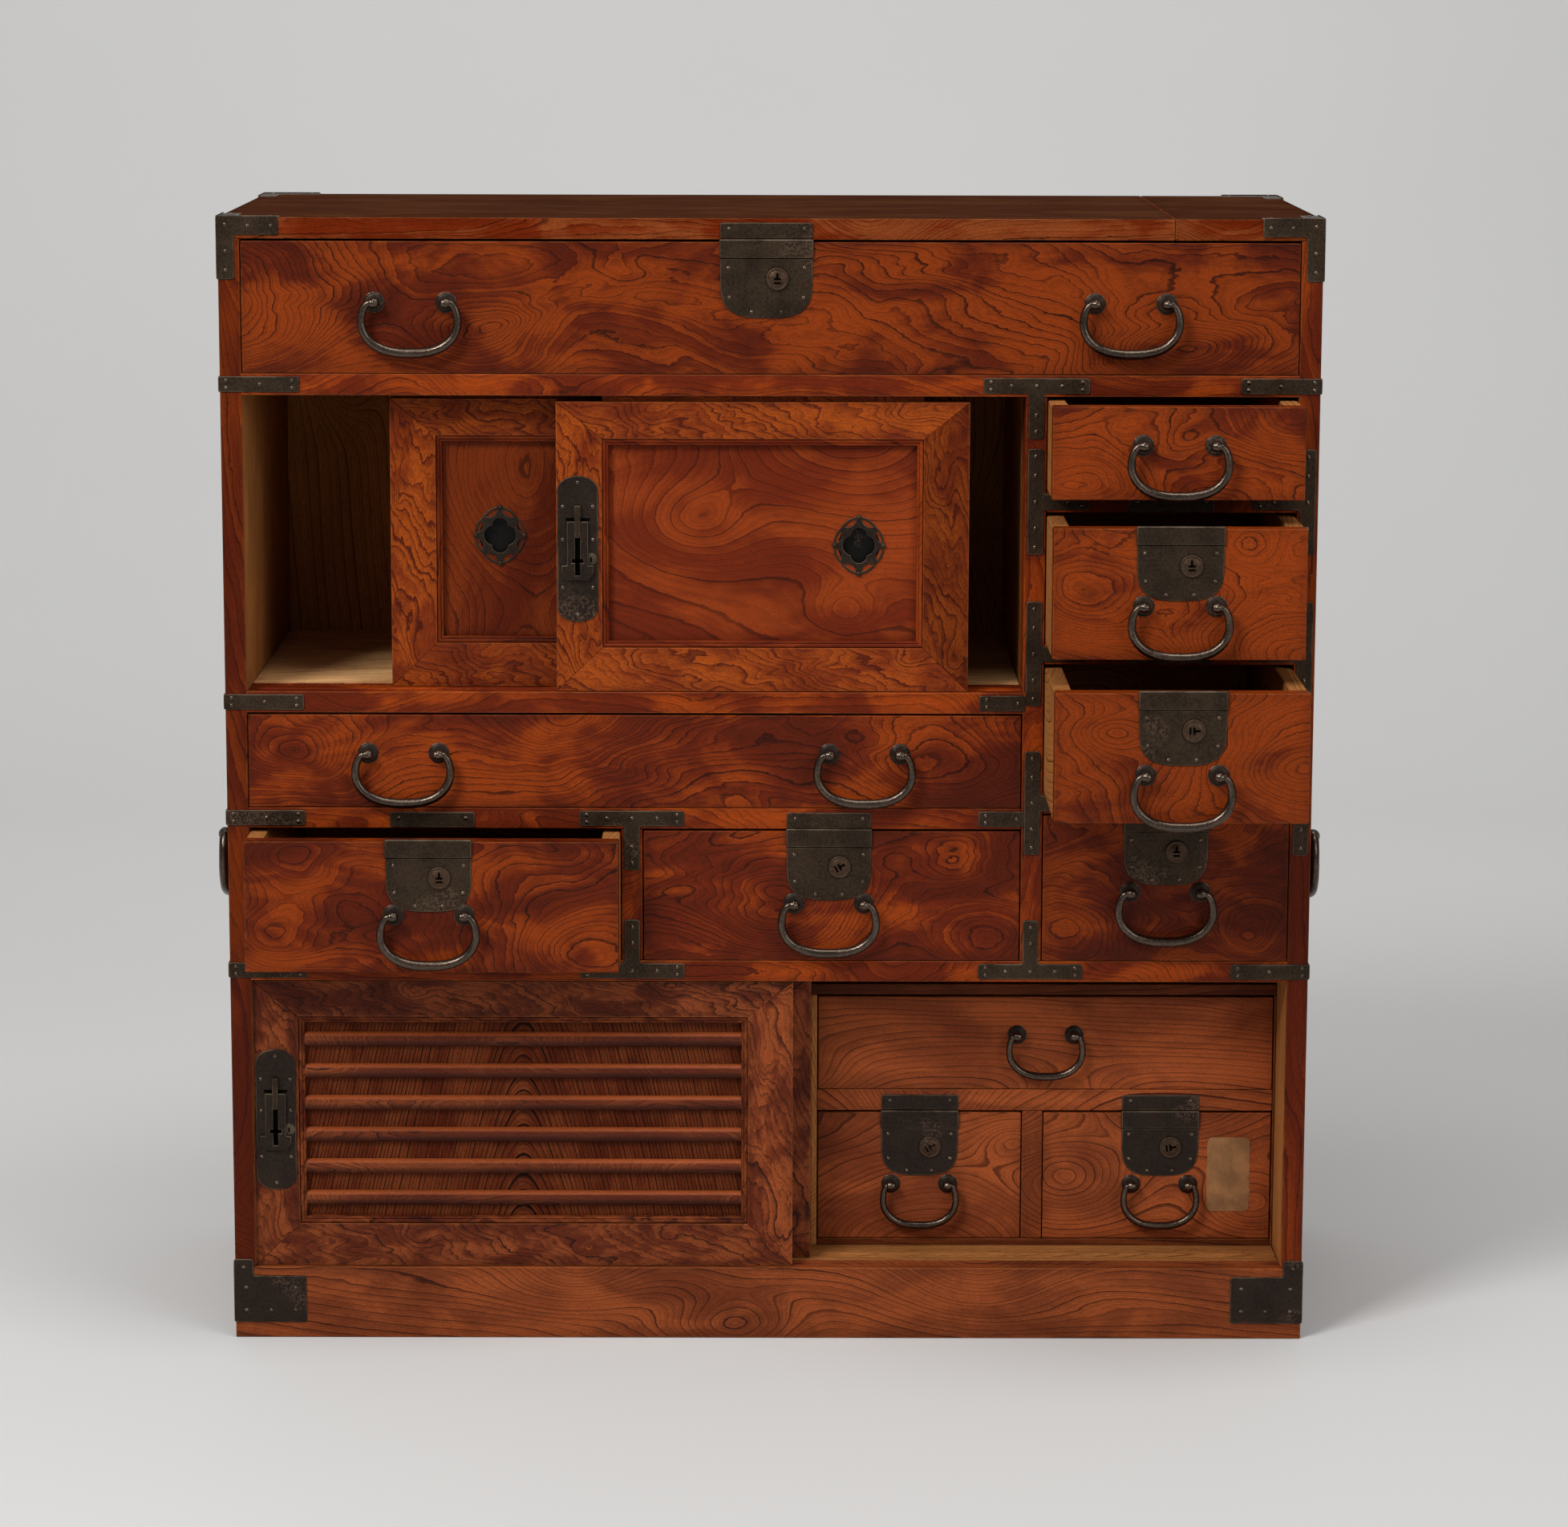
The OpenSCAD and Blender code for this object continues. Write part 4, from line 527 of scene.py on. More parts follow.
def timber(nodes, wood):
    """A wood finish. Its growth lines are where the growth height passes each whole number: each comes up
    slowly and ends sharply. Finer lines run between them, three for each. Colour, pores, wear and relief
    follow the lines, slow noise and the board's own edges."""
    at = nodes.field("at")[1]
    half = nodes.split(nodes.field("half")[1])
    seed, light, warm = nodes.split(nodes.field("trait")[1])
    here = nodes.moved(at, nodes.join(seed * 3.1, seed * 1.7, seed * 0.9))
    place = nodes.split(at)
    ring = growth_height(nodes, wood, here, place, seed)
    uneven = nodes.noise(nodes.join(ring * 0.4, 0.0, seed), 1.0, 1.0) - 0.5
    ring = ring + uneven * 1.8
    phase = ring.math("FRACT")
    chance = nodes.node("ShaderNodeTexWhiteNoise", {"noise_dimensions": "1D"}, {"W": ring.math("FLOOR")})[0]
    bold = wood.get("bold", 0.0)
    start = phase.rise(0.35 - bold, 0.85 - bold) * 0.3 + phase.rise(0.76 - bold, 0.86 - bold * 0.5) * 0.7
    line = start * phase.rise(1.0, 0.96)
    line = line * (chance * 0.85 + 0.25)
    third = (ring * 3.0).math("FRACT")
    fine = third.rise(0.45, 0.9) * third.rise(1.0, 0.93)
    fibre = nodes.noise(nodes.scaled(here, (1.4, 15.0, 15.0)), 1.0, 3.0, 0.65) - 0.5
    specks = nodes.noise(nodes.scaled(here, (4.5, 30.0, 30.0)), 1.0, 1.5)
    pores = specks.rise(0.53, 0.64) * (1.1 - phase * 0.6) * wood["pores"]

    blotch = wood["blotch"]
    patches = nodes.noise(nodes.scaled(here, (blotch, blotch * 2, blotch * 2)), 1.0, 3.5, 0.6, 0.5)
    tide = patches + warm + chance * 0.1 - phase * 0.05
    tint = nodes.mix(tide.rise(0.45, 0.62), paint(wood["base"]), paint(wood["patch"]))
    tint = nodes.mix(tide.rise(0.48, 0.34) * 0.5, tint, paint(wood["deep"]))
    inked = (line * wood["depth"] + fine * wood["depth"] * 0.3).low(0.95)
    tint = nodes.mix(inked, tint, paint(wood["line"]))
    tint = nodes.mix(pores * 0.7, tint, paint(wood["line"]))
    # What looks up is darkened towards a darker colour, on the top board's upper face.
    if "darker_top" in wood:
        up = nodes.split(nodes.node("ShaderNodeNewGeometry")[1])[2]
        tint = nodes.mix(up.rise(0.7, 0.95) * wood["darker_top"], tint, paint("darker_top"))
    # Painted highlight along a slat's upper edge, in a paler colour, and painted shade over its lower half,
    # darkened towards near black.
    if "underside_shade" in wood:
        side = place[1] / half[1]
        tint = nodes.mix(side.rise(0.45, 0.75) * 0.65, tint, nodes.lit(paint(wood["patch"]), 1.75))
        tint = nodes.mix(side.rise(0.25, -0.5) * wood["underside_shade"], tint, paint("near_black"))
    # The board's light paints light and shade into its colour, together with some of its own tone.
    tint = nodes.lit(tint, light * (fibre * wood["fibre"] * 2.4 + (patches - 0.5) * 0.8 + 1.0))

    reach = [half[i] - place[i].math("ABSOLUTE") for i in range(3)]
    edge = reach[0].low(reach[1]).high(reach[0].high(reach[1]).low(reach[2]))
    scuff = nodes.noise(nodes.scaled(here, (0.8, 2.0, 2.0)), 1.0, 3.0, 0.65)
    wear = (edge + scuff * 0.16).rise(0.18, 0.1) * 0.4
    grime = edge.rise(1.2, 0.0) * 0.2
    rubbed = nodes.mix(0.45, nodes.lit(tint, 1.45), paint("softwood"))
    tint = nodes.mix(grime, tint, paint(wood["line"]))
    tint = nodes.mix(wear, tint, rubbed)
    relief = fibre * 0.3 - pores * 1.2 - line * 0.35 + scuff * 0.2
    nodes.surface(Base_Color=tint, Roughness=scuff * 0.2 + wood["rough"] + wear * 0.2 - 0.08,
                  Coat_Weight=wood["coat"], Coat_Roughness=0.2, Specular_IOR_Level=wood["gloss"],
                  Normal=nodes.bump(relief, 0.4, 0.0006))


# The irons: their plain colour and that of rims that look up, worn metal with a painted highlight; how
# metallic and rough they are, the strength of their mottle, and their gloss
IRONS = {
    "forged_iron": dict(base="iron", bright="worn_iron", metal=0.6, rough=0.48, mottle=0.85, gloss=0.25),
    "darker_iron": dict(base="darker_iron", bright="worn_iron", metal=0.5, rough=0.42, mottle=0.7, gloss=0.2),
    "disc_iron": dict(base="disc_iron", bright="worn_iron", metal=0.6, rough=0.42, mottle=0.7, gloss=0.25),
    "polished_iron": dict(base="polish", bright="worn_iron", metal=0.95, rough=0.26, mottle=0.7, gloss=0.25),
    "dark_cup": dict(base="near_black", bright="iron", metal=0.3, rough=0.5, mottle=0.6, gloss=0.2),
    # Near-black patches standing for keyholes and slots: painted shade.
    "hole_shade": dict(base="near_black", bright="near_black", metal=0.0, rough=0.9, mottle=0.5, gloss=0.0),
}


def forged(nodes, base, bright, metal, rough, mottle, gloss):
    """An iron finish on Object coordinates: mottled scale, hammer marks, specks and pitted places of rust.
    Where the piece's own rim value says so, rims that look up are made bright, worn metal with a painted
    highlight, and those that look down are made near black, a painted shade."""
    here = nodes.node("ShaderNodeTexCoord")[3]
    rim = nodes.field("rim")[2]
    broad = nodes.noise(here, 42.0, 4.0, 0.62)
    fine = nodes.noise(here, 520.0, 3.0, 0.6)
    specks = nodes.noise(here, 240.0, 2.0, 0.5).rise(0.62, 0.74) * broad.rise(0.42, 0.6)
    pitted = nodes.noise(here, 19.0, 2.0).rise(0.59, 0.67) * fine.rise(0.46, 0.58)
    up = nodes.split(nodes.node("ShaderNodeNewGeometry")[1])[2]
    scale = broad * 0.45 + fine * 0.7
    tint = nodes.mix(scale.rise(0.42, 0.74) * mottle, nodes.lit(paint(base), 1.0 - mottle * 0.4),
                     nodes.lit(paint(base), 1.0 + mottle * 0.8))
    tint = nodes.mix(specks * 0.5, tint, paint("rust"))
    tint = nodes.mix(pitted * 0.55, tint, nodes.mix(0.55, paint("worn_iron"), paint("rust")))
    # Painted shade: rims that look down are darkened towards near black.
    tint = nodes.mix(rim * up.rise(-0.3, -0.8) * 0.6, tint, paint("near_black"))
    # Rims that look up are made bright: worn metal with a painted highlight.
    rubbed = (rim * (broad + 0.3)).rise(0.55, 0.9) * up.rise(-0.5, 0.3) * 0.7
    tint = nodes.mix(rubbed, tint, paint(bright))
    relief = broad * 0.7 + fine * 0.3
    nodes.surface(Base_Color=tint, Metallic=metal, Roughness=broad * 0.3 + rough - 0.15 - rubbed * 0.12,
                  Specular_IOR_Level=gloss, Normal=nodes.bump(relief, 0.6, 0.001))


def slip_paper(nodes):
    """Old brown paper with long fibres and stains."""
    here = nodes.node("ShaderNodeTexCoord")[3]
    stain = nodes.noise(here, 45.0, 4.0, 0.6)
    fibre = nodes.noise(nodes.scaled(here, (900.0, 900.0, 260.0)), 1.0, 2.0)
    tint = nodes.mix(stain.rise(0.35, 0.7), nodes.lit(paint("slip"), 0.72), nodes.lit(paint("slip"), 1.2))
    tint = nodes.lit(tint, fibre * 0.4 + 0.8)
    nodes.surface(Base_Color=tint, Roughness=stain * 0.1 + 0.8, Normal=nodes.bump(fibre, 0.2, 0.0003))


def studio_floor(nodes):
    """Plain pale floor and backdrop, with a faint unevenness."""
    here = nodes.node("ShaderNodeTexCoord")[3]
    cloud = nodes.noise(here, 1.3, 3.0, 0.5)
    nodes.surface(Base_Color=nodes.lit(paint("paving"), cloud * 0.06 + 0.97), Roughness=0.75,
                  Specular_IOR_Level=0.2)


PLAIN = {"aged_slip": slip_paper, "studio_floor": studio_floor}


def finish(name):
    """A finish by name, made once: a timber, an iron or one of the plain ones."""
    if name not in bpy.data.materials:
        nodes = Nodes(bpy.data.materials.new(name))
        if name in TIMBERS:
            timber(nodes, TIMBERS[name])
        elif name in IRONS:
            forged(nodes, **IRONS[name])
        else:
            PLAIN[name](nodes)
    return bpy.data.materials[name]


class Plane:
    """A flat place to build on: an origin and two directions in it; heights rise along their cross."""

    def __init__(self, origin, u, v):
        self.origin = np.array(origin, float)
        self.u = np.array(u, float)
        self.v = np.array(v, float)
        self.n = np.cross(self.u, self.v)

    def lift(self, flat, height):
        """Points of the plane (n, 2) at a height over it, in the part's frame."""
        flat = np.asarray(flat, float)
        heights = np.broadcast_to(height, len(flat))[:, None]
        return self.origin + flat[:, :1] * self.u + flat[:, 1:2] * self.v + heights * self.n

    def turn(self, flat):
        """Directions in the plane (n, 2), in the part's frame."""
        return flat[:, :1] * self.u + flat[:, 1:2] * self.v


def facing_front(y, at=(0.0, 0.0)):
    """The plane of a face that looks to the front, with X and Z in it."""
    return Plane((at[0], y, at[1]), X, Z)


def facing_right(x):
    """The plane of a face that looks to the right, with Y and Z in it."""
    return Plane((x, 0, 0), Y, Z)


def facing_up(z):
    """The plane of a face that looks up, with X and Y in it."""
    return Plane((0, 0, z), X, Y)


class Shape:
    """A piece's surfaces: points in millimetres, faces with a normal at each corner, and the values that
    its finishes read: at and half (place on its board and the board's half size), trait (the board's own
    number, its light, which is painted light and shade together with some of its own tone, and its warmth),
    flow and the three eyes of its figure, and rim, by which the iron finishes paint rims bright where they
    look up, worn metal with a painted highlight, and dark where they look down, a painted shade."""

    FIELDS = {"at": 3, "half": 3, "trait": 3, "flow": 3, "eye_a": 3, "eye_b": 3, "eye_c": 3, "rim": 1}

    def __init__(self):
        self.points = []
        self.patches = []
        self.fields = {name: [] for name in self.FIELDS}
        self.total = 0

    def add(self, points, patches, finish=0, **fields):
        """Adds points (n, 3) and patches: pairs of faces (m, k) and normals, which are one for all, one for
        each point, or one for each corner."""
        for faces, normals in patches:
            faces = np.asarray(faces)
            normals = np.asarray(normals, float)
            if normals.ndim == 1:
                normals = np.broadcast_to(normals, (*faces.shape, 3))
            elif normals.ndim == 2:
                normals = normals[faces]
            self.patches.append((faces + self.total, normals, finish))
        for name, width in self.FIELDS.items():
            value = np.asarray(fields.get(name, 0.0), float)
            value = value.reshape(-1, width) if value.ndim else value
            self.fields[name].append(np.broadcast_to(value, (len(points), width)))
        self.points.append(np.asarray(points, float))
        self.total += len(points)

    def reflect(self, axis):
        """Adds a mirrored copy of everything so far: one coordinate changes sign, and faces run the other
        way."""
        sign = np.ones(3)
        sign[axis] = -1.0
        shift = self.total
        self.points += [points * sign for points in self.points]
        self.patches += [(faces[:, ::-1] + shift, normals[:, ::-1] * sign, finish)
                         for faces, normals, finish in self.patches]
        for values in self.fields.values():
            values += list(values)
        self.total *= 2

    def build(self, name, body, slot, finishes, *nodes):
        """Puts everything into one object, which rides on a body and stands for the nodes."""
        mesh = bpy.data.meshes.new(name)
        mesh.vertices.add(self.total)
        mesh.vertices.foreach_set("co", (np.concatenate(self.points) * MM).ravel())
        counts = np.concatenate([np.full(len(faces), faces.shape[1]) for faces, _, _ in self.patches])
        mesh.loops.add(int(counts.sum()))
        mesh.loops.foreach_set("vertex_index", np.concatenate([p[0].ravel() for p in self.patches]))
        mesh.polygons.add(len(counts))
        mesh.polygons.foreach_set("loop_start", np.cumsum(counts) - counts)
        worn = np.concatenate([np.full(len(faces), finish) for faces, _, finish in self.patches])
        mesh.polygons.foreach_set("material_index", worn)
        mesh.polygons.foreach_set("use_smooth", np.ones(len(counts), bool))
        mesh.update(calc_edges=True)
        mesh.normals_split_custom_set(np.concatenate([p[1].reshape(-1, 3) for p in self.patches]))
        for field, width in self.FIELDS.items():
            kind, key = ("FLOAT_VECTOR", "vector") if width == 3 else ("FLOAT", "value")
            attribute = mesh.attributes.new(field, kind, "POINT")
            attribute.data.foreach_set(key, np.concatenate(self.fields[field]).ravel())
        for each in finishes:
            mesh.materials.append(finish(each))
        piece = bpy.data.objects.new(name, mesh)
        bpy.context.scene.collection.objects.link(piece)
        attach(piece, body)
        if nodes:
            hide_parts(*nodes)


def box_template():
    """The 24 points and 26 faces of a box with eased edges. Each corner gives a point to each of its three
    faces. Returns the corners' signs, each point's face axis, the quads and the triangles."""
    signs = np.repeat(np.stack(np.meshgrid(*[[-1, 1]] * 3, indexing="ij"), -1).reshape(-1, 3), 3, 0)
    axis = np.tile(np.arange(3), 8)
    place = signs * (1 - 0.2 * (1 - np.eye(3)[axis]))

    def around(members, centre):
        """Members in order round their middle, anticlockwise seen from outside."""
        members = np.array(members)
        spokes = place[members] - place[members].mean(0)
        first = spokes[0] / np.linalg.norm(spokes[0])
        second = np.cross(centre, first)
        return members[np.argsort(np.arctan2(spokes @ second, spokes @ first))]

    quads = []
    for a in range(3):
        for sign in (-1, 1):
            quads.append(around(np.flatnonzero((axis == a) & (signs[:, a] == sign)), np.eye(3)[a] * sign))
        b, c = (a + 1) % 3, (a + 2) % 3
        for sb in (-1, 1):
            for sc in (-1, 1):
                edge = (axis != a) & (signs[:, b] == sb) & (signs[:, c] == sc)
                middle = (np.eye(3)[b] * sb + np.eye(3)[c] * sc) / math.sqrt(2)
                quads.append(around(np.flatnonzero(edge), middle))
    corners = [around(np.arange(3 * i, 3 * i + 3), signs[3 * i] / math.sqrt(3)) for i in range(8)]
    return signs, axis, np.array(quads), np.array(corners)


BOX_SIGNS, BOX_AXIS, BOX_QUADS, BOX_CORNERS = box_template()

# The quad of a box at the left (-1) or right (1) of the case that looks at the case's middle, and the quad
# that looks backwards
INNER_FACE = {-1: 1, 1: 0}
REAR_FACE = 7


def scatter(point):
    """A number between 0 and 40 that looks random but depends only on a place."""
    return float(abs(math.sin(np.dot(point, (12.9898, 78.233, 37.719))) * 4375.85) % 40)


def drift(centre, half):
    """A flow and three eyes for a board whose figure isn't given, worked out from its place."""
    chance = np.random.default_rng(int(scatter(centre) * 1000))
    flow = (chance.uniform(-0.14, 0.14), chance.choice([-1, 1]) * chance.uniform(0.3, 0.6),
            chance.uniform(1.5, 2.1))
    spread = np.array([half[0], max(half[1], 1.5) * 1.3])
    eyes = [(*(chance.uniform(-1, 1, 2) * spread), chance.uniform(1.8, 4.2)) for _ in range(3)]
    return flow, eyes


def board_fields(points, low, high, grain, light, warm, figure=None):
    """Each point's place on its board: along the grain, across it, and through the thickness; and the
    board's half size, trait and figure."""
    centre = (low + high) / 2
    half = (high - low) / 2
    along = "xyz".index(grain)
    rest = [i for i in range(3) if i != along]
    rest.sort(key=lambda i: -half[i])
    order = [along, *rest]
    flow, eyes = figure or drift(centre, half[order] * CM)
    return {"at": (points - centre)[:, order] * CM, "half": half[order] * CM,
            "trait": (scatter(centre), light, warm), "flow": flow,
            "eye_a": eyes[0], "eye_b": eyes[1], "eye_c": eyes[2]}


def plank(shape, low, high, grain="x", light=1.0, warm=0.0, ease=None, finish=0, figure=None, lining=None):
    """A board with eased edges. A point is its corner, drawn in by the easing along the two axes that
    its own face does not look along. The lining gives one of its quads a light and a finish of its own."""
    low = np.array(low, float)
    high = np.array(high, float)
    half = (high - low) / 2
    ease = min(size("ease") if ease is None else ease, half.min() * 0.8)
    flat = np.eye(3)[BOX_AXIS]
    points = (low + high) / 2 + BOX_SIGNS * (half - ease * (1 - flat))
    normals = flat * BOX_SIGNS
    fields = board_fields(points, low, high, grain, light, warm, figure)
    quads = BOX_QUADS
    if lining:
        lined, lined_light, lined_finish = lining
        quads = np.delete(BOX_QUADS, lined, 0)
        fields["trait"] = np.tile(fields["trait"], (len(points), 1))
        fields["trait"][BOX_QUADS[lined], 1] = lined_light
        faces = BOX_QUADS[lined][None]
        shape.patches.append((faces + shape.total, normals[faces], lined_finish))
    shape.add(points, [(quads, normals), (BOX_CORNERS, normals)], finish, **fields)


def unit(steps):
    """Directions (n, k) brought to length 1; one without a length stays as it is."""
    return steps / np.maximum(np.linalg.norm(steps, axis=1, keepdims=True), 1e-9)


def anticlockwise(outline):
    """An outline (n, 2) turned so that it runs anticlockwise."""
    outline = np.asarray(outline, float)
    ahead = np.roll(outline, -1, 0)
    area = (outline[:, 0] * ahead[:, 1] - ahead[:, 0] * outline[:, 1]).sum()
    return outline if area > 0 else outline[::-1]


def eased(outline, radius):
    """An outline whose corners are eased: each becomes a quadratic curve that starts and ends a radius from
    the corner."""
    back = np.roll(outline, 1, 0) - outline
    ahead = np.roll(outline, -1, 0) - outline

    def towards(step):
        """The point on the way along a step at which the curve starts."""
        long = np.linalg.norm(step, axis=1, keepdims=True)
        return outline + step / long * np.minimum(np.reshape(radius, (-1, 1)), long / 2)

    t = np.linspace(0, 1, 4)[None, :, None]
    a, b, c = towards(back)[:, None], outline[:, None], towards(ahead)[:, None]
    return ((1 - t) ** 2 * a + 2 * t * (1 - t) * b + t ** 2 * c).reshape(-1, 2)


def circle(steps):
    """Points of a circle of radius 1."""
    turn = np.linspace(0, 2 * np.pi, steps, endpoint=False)
    return np.stack([np.cos(turn), np.sin(turn)], 1)


def oblong(x0, z0, x1, z1):
    """The four corners of a rectangle."""
    return np.array([[x0, z0], [x1, z0], [x1, z1], [x0, z1]], float)


def sides_of(outline):
    """Outward normals of an outline: of each point's mitre, of each side's start, and of each side's end. At
    a gentle turn start and end share one normal, and at a sharp one each side keeps its own."""
    step = np.roll(outline, -1, 0) - outline
    side = unit(np.stack([step[:, 1], -step[:, 0]], 1))
    before = np.roll(side, 1, 0)
    turn = (side * before).sum(1, keepdims=True)
    mitre = (side + before) / np.maximum(1 + turn, 0.2)
    mean = unit(side + before)
    gentle = turn > 0.72
    start = np.where(gentle, mean, side)
    end = np.where(np.roll(gentle, -1, 0), np.roll(mean, -1, 0), side)
    return mitre, start, end


def drawn_in(outline, distance, radius):
    """An outline drawn in along its mitres. Its corners are eased by a radius, less the distance at a corner
    that stands out and more by it at one that stands in."""
    mitre, start, end = sides_of(outline)
    moved = outline - mitre * distance
    if radius == 0:
        return moved
    before = np.roll(end, 1, 0)
    out = np.sign(before[:, 0] * start[:, 1] - before[:, 1] * start[:, 0])
    return eased(moved, np.maximum(radius - distance * out, 0.03))


def covered(points, outline):
    """Whether points (n, 2) lie inside an outline, by counting the sides to the right of each."""
    x, y = points[:, :1], points[:, 1:]
    a, b = outline, np.roll(outline, -1, 0)
    crosses = (a[:, 1] > y) != (b[:, 1] > y)
    rise = np.where(b[:, 1] == a[:, 1], 1e-9, b[:, 1] - a[:, 1])
    hit = a[:, 0] + (y - a[:, 1]) / rise * (b[:, 0] - a[:, 0]) > x
    return (crosses & hit).sum(1) % 2 == 1


def pierced_cap(outer, holes):
    """Triangles over an outline that leave its holes open, as indices into all their points in turn."""
    flat = np.concatenate([outer, *holes])
    edges = []
    start = 0
    for outline in (outer, *holes):
        ids = np.arange(start, start + len(outline))
        edges += np.stack([ids, np.roll(ids, -1)], 1).tolist()
        start += len(outline)
    found = delaunay_2d_cdt([tuple(p) for p in flat], edges, [], 0, 1e-6)
    faces = np.array(found[2])
    middles = np.array([tuple(p) for p in found[0]])[faces].mean(1)
    keep = covered(middles, outer)
    for hole in holes:
        keep &= ~covered(middles, hole)
    home = np.array([each[0] for each in found[3]])
    return home[faces[keep]]


def slab(shape, plane, outline, low, high, holes=(), radius=0.0, ease=None, rim=None, finish=0, board=None):
    """A flat form. Its outline, with corners eased by a radius, is carried straight up the plane from low to
    high, and its upper rim is eased by drawing the outline in. A board gives (grain, light, warm) and, where
    it has one, its figure."""
    ease = size("plate_ease") if ease is None else ease
    rim = size("rim") if rim is None else rim
    levels = [(0.0, low, 0.3), (0.0, high - ease, 1.0), (ease, high, 1.0), (ease + rim, high, 0.0)]
    outlines = [(anticlockwise(outline), radius), *[(anticlockwise(hole)[::-1], 0) for hole in holes]]
    rings = [[drawn_in(each, level[0], bend) for each, bend in outlines] for level in levels]
    count = sum(len(each) for each in rings[0])
    patches = []
    start = 0
    for each in rings[0]:
        _, begin, end = sides_of(each)
        ids = np.arange(start, start + len(each))
        ahead = np.roll(ids, -1)
        begin, end = plane.turn(begin), plane.turn(end)
        up = np.broadcast_to(plane.n, begin.shape)
        corner_normals = [(begin, end, end, begin), (begin, end, up, up), (up, up, up, up)]
        for k, normals in enumerate(corner_normals):
            quads = np.stack([ids + k * count, ahead + k * count, ahead + (k + 1) * count,
                              ids + (k + 1) * count], 1)
            patches.append((quads, np.stack(normals, 1)))
        start += len(each)
    cap = pierced_cap(rings[-1][0], rings[-1][1:]) if holes else np.arange(count)[None]
    patches.append((cap + 3 * count, plane.n))
    patches.append((cap[:, ::-1], -plane.n))
    points = np.concatenate([plane.lift(np.concatenate(ring), level[1])
                             for ring, level in zip(rings, levels)])
    fields = {"rim": np.concatenate([np.full(count, worn) for _, _, worn in levels])}
    if board:
        fields.update(board_fields(points, points.min(0), points.max(0), *board))
    shape.add(points, patches, finish, **fields)


def profile_normals(profile):
    """The normal of each stretch of an open profile, which points to its right, and the mean normal at each
    of its points."""
    step = np.diff(profile, axis=0)
    flat = unit(np.stack([step[:, 1], -step[:, 0]], 1))
    soft = np.concatenate([flat[:1], flat[:-1] + flat[1:], flat[-1:]])
    return flat, unit(soft)


def turned(shape, plane, centre, profile, sides, finish=0, worn=0.4):
    """A turned form. Each point of the profile, a radius and a height, runs once round an axis that stands
    on the plane; a last radius of 0 closes it in a pole."""
    profile = np.asarray(profile, float)
    flat, soft = profile_normals(profile)
    gentle = np.concatenate([[False], (flat[:-1] * flat[1:]).sum(1) > 0.6, [False]])[:, None]
    begin = np.where(gentle[:-1], soft[:-1], flat)
    end = np.where(gentle[1:], soft[1:], flat)
    around = circle(sides)
    pole = profile[-1, 0] == 0
    rings = profile[:-1] if pole else profile
    points = [plane.lift(around * r + centre, h) for r, h in rings]
    ids = np.arange(sides)
    ahead = np.roll(ids, -1)
    patches = [(ids[None, ::-1], -plane.n)]

    def normal(direction, which):
        """Normals round one ring for one direction of the profile."""
        return plane.turn(around[which] * direction[0]) + plane.n * direction[1]

    for k in range(len(rings) - 1):
        a, b = k * sides, (k + 1) * sides
        quads = np.stack([ids + a, ahead + a, ahead + b, ids + b], 1)
        normals = np.stack([normal(begin[k], ids), normal(begin[k], ahead), normal(end[k], ahead),
                            normal(end[k], ids)], 1)
        patches.append((quads, normals))
    last = (len(rings) - 1) * sides
    if pole:
        points.append(plane.lift(np.array([centre]), profile[-1, 1]))
        tip = len(rings) * sides
        fan = np.stack([ids + last, ahead + last, np.full(sides, tip)], 1)
        normals = np.stack([normal(begin[-1], ids), normal(begin[-1], ahead),
                            np.broadcast_to(plane.n, (sides, 3))], 1)
        patches.append((fan, normals))
    else:
        patches.append((ids[None] + last, plane.n))
    shape.add(np.concatenate(points), patches, finish, rim=worn)


def drawn(shape, line, radius, across, sides, finish=0, worn=0.4, flats=0.0):
    """A bar drawn along a line. At each point a ring of its radius stands square to the line; flats makes
    the ring slightly square, by the cosine of four times its angle. Both ends close in a pole."""
    line = np.asarray(line, float)
    radius = np.broadcast_to(radius, len(line))
    ahead = unit(np.gradient(line, axis=0))
    side = unit(np.cross(across, ahead))
    up = np.cross(ahead, side)
    turn = np.linspace(0, 2 * np.pi, sides, endpoint=False)
    spokes = side[:, None] * np.cos(turn)[:, None] + up[:, None] * np.sin(turn)[:, None]
    reach = radius[:, None, None] * (1 + flats * np.cos(4 * turn))[:, None]
    rings = line[:, None] + spokes * reach
    ids = np.arange(sides)
    on = np.roll(ids, -1)
    rows = (np.arange(len(line) - 1) * sides)[:, None]
    quads = np.stack([rows + ids, rows + on, rows + sides + on, rows + sides + ids], -1).reshape(-1, 4)
    first, last = len(line) * sides, len(line) * sides + 1
    points = np.concatenate([rings.reshape(-1, 3), [line[0] - ahead[0] * radius[0] * 0.4,
                                                    line[-1] + ahead[-1] * radius[-1] * 0.4]])
    normals = np.concatenate([spokes.reshape(-1, 3), [-ahead[0], ahead[-1]]])
    final = (len(line) - 1) * sides
    caps = np.concatenate([np.stack([on, ids, np.full(sides, first)], 1),
                           np.stack([ids + final, on + final, np.full(sides, last)], 1)])
    shape.add(points, [(quads, normals), (caps, normals)], finish, rim=worn)


def nails(shape, plane, places, height=PLATE, finish=1):
    """Domed nail heads: a low cap, an arc of a circle turned round its axis, on each place."""
    r = size("nail")
    profile = [(r, -0.2), (r * 0.94, 0.3), (r * 0.55, 0.66), (0, 0.8)]
    for place in places:
        turned(shape, plane, place, [(a, b + height) for a, b in profile], 8, finish, 1.0)


def ironwork(shape, plane, outline, places, radius=2.0, thick=PLATE, finish=0):
    """A nailed plate with eased corners. The nails of a plate in the darker iron are in the darker iron too.
    """
    slab(shape, plane, outline, 0.0, thick, radius=radius, finish=finish)
    nails(shape, plane, places, thick, finish or 1)


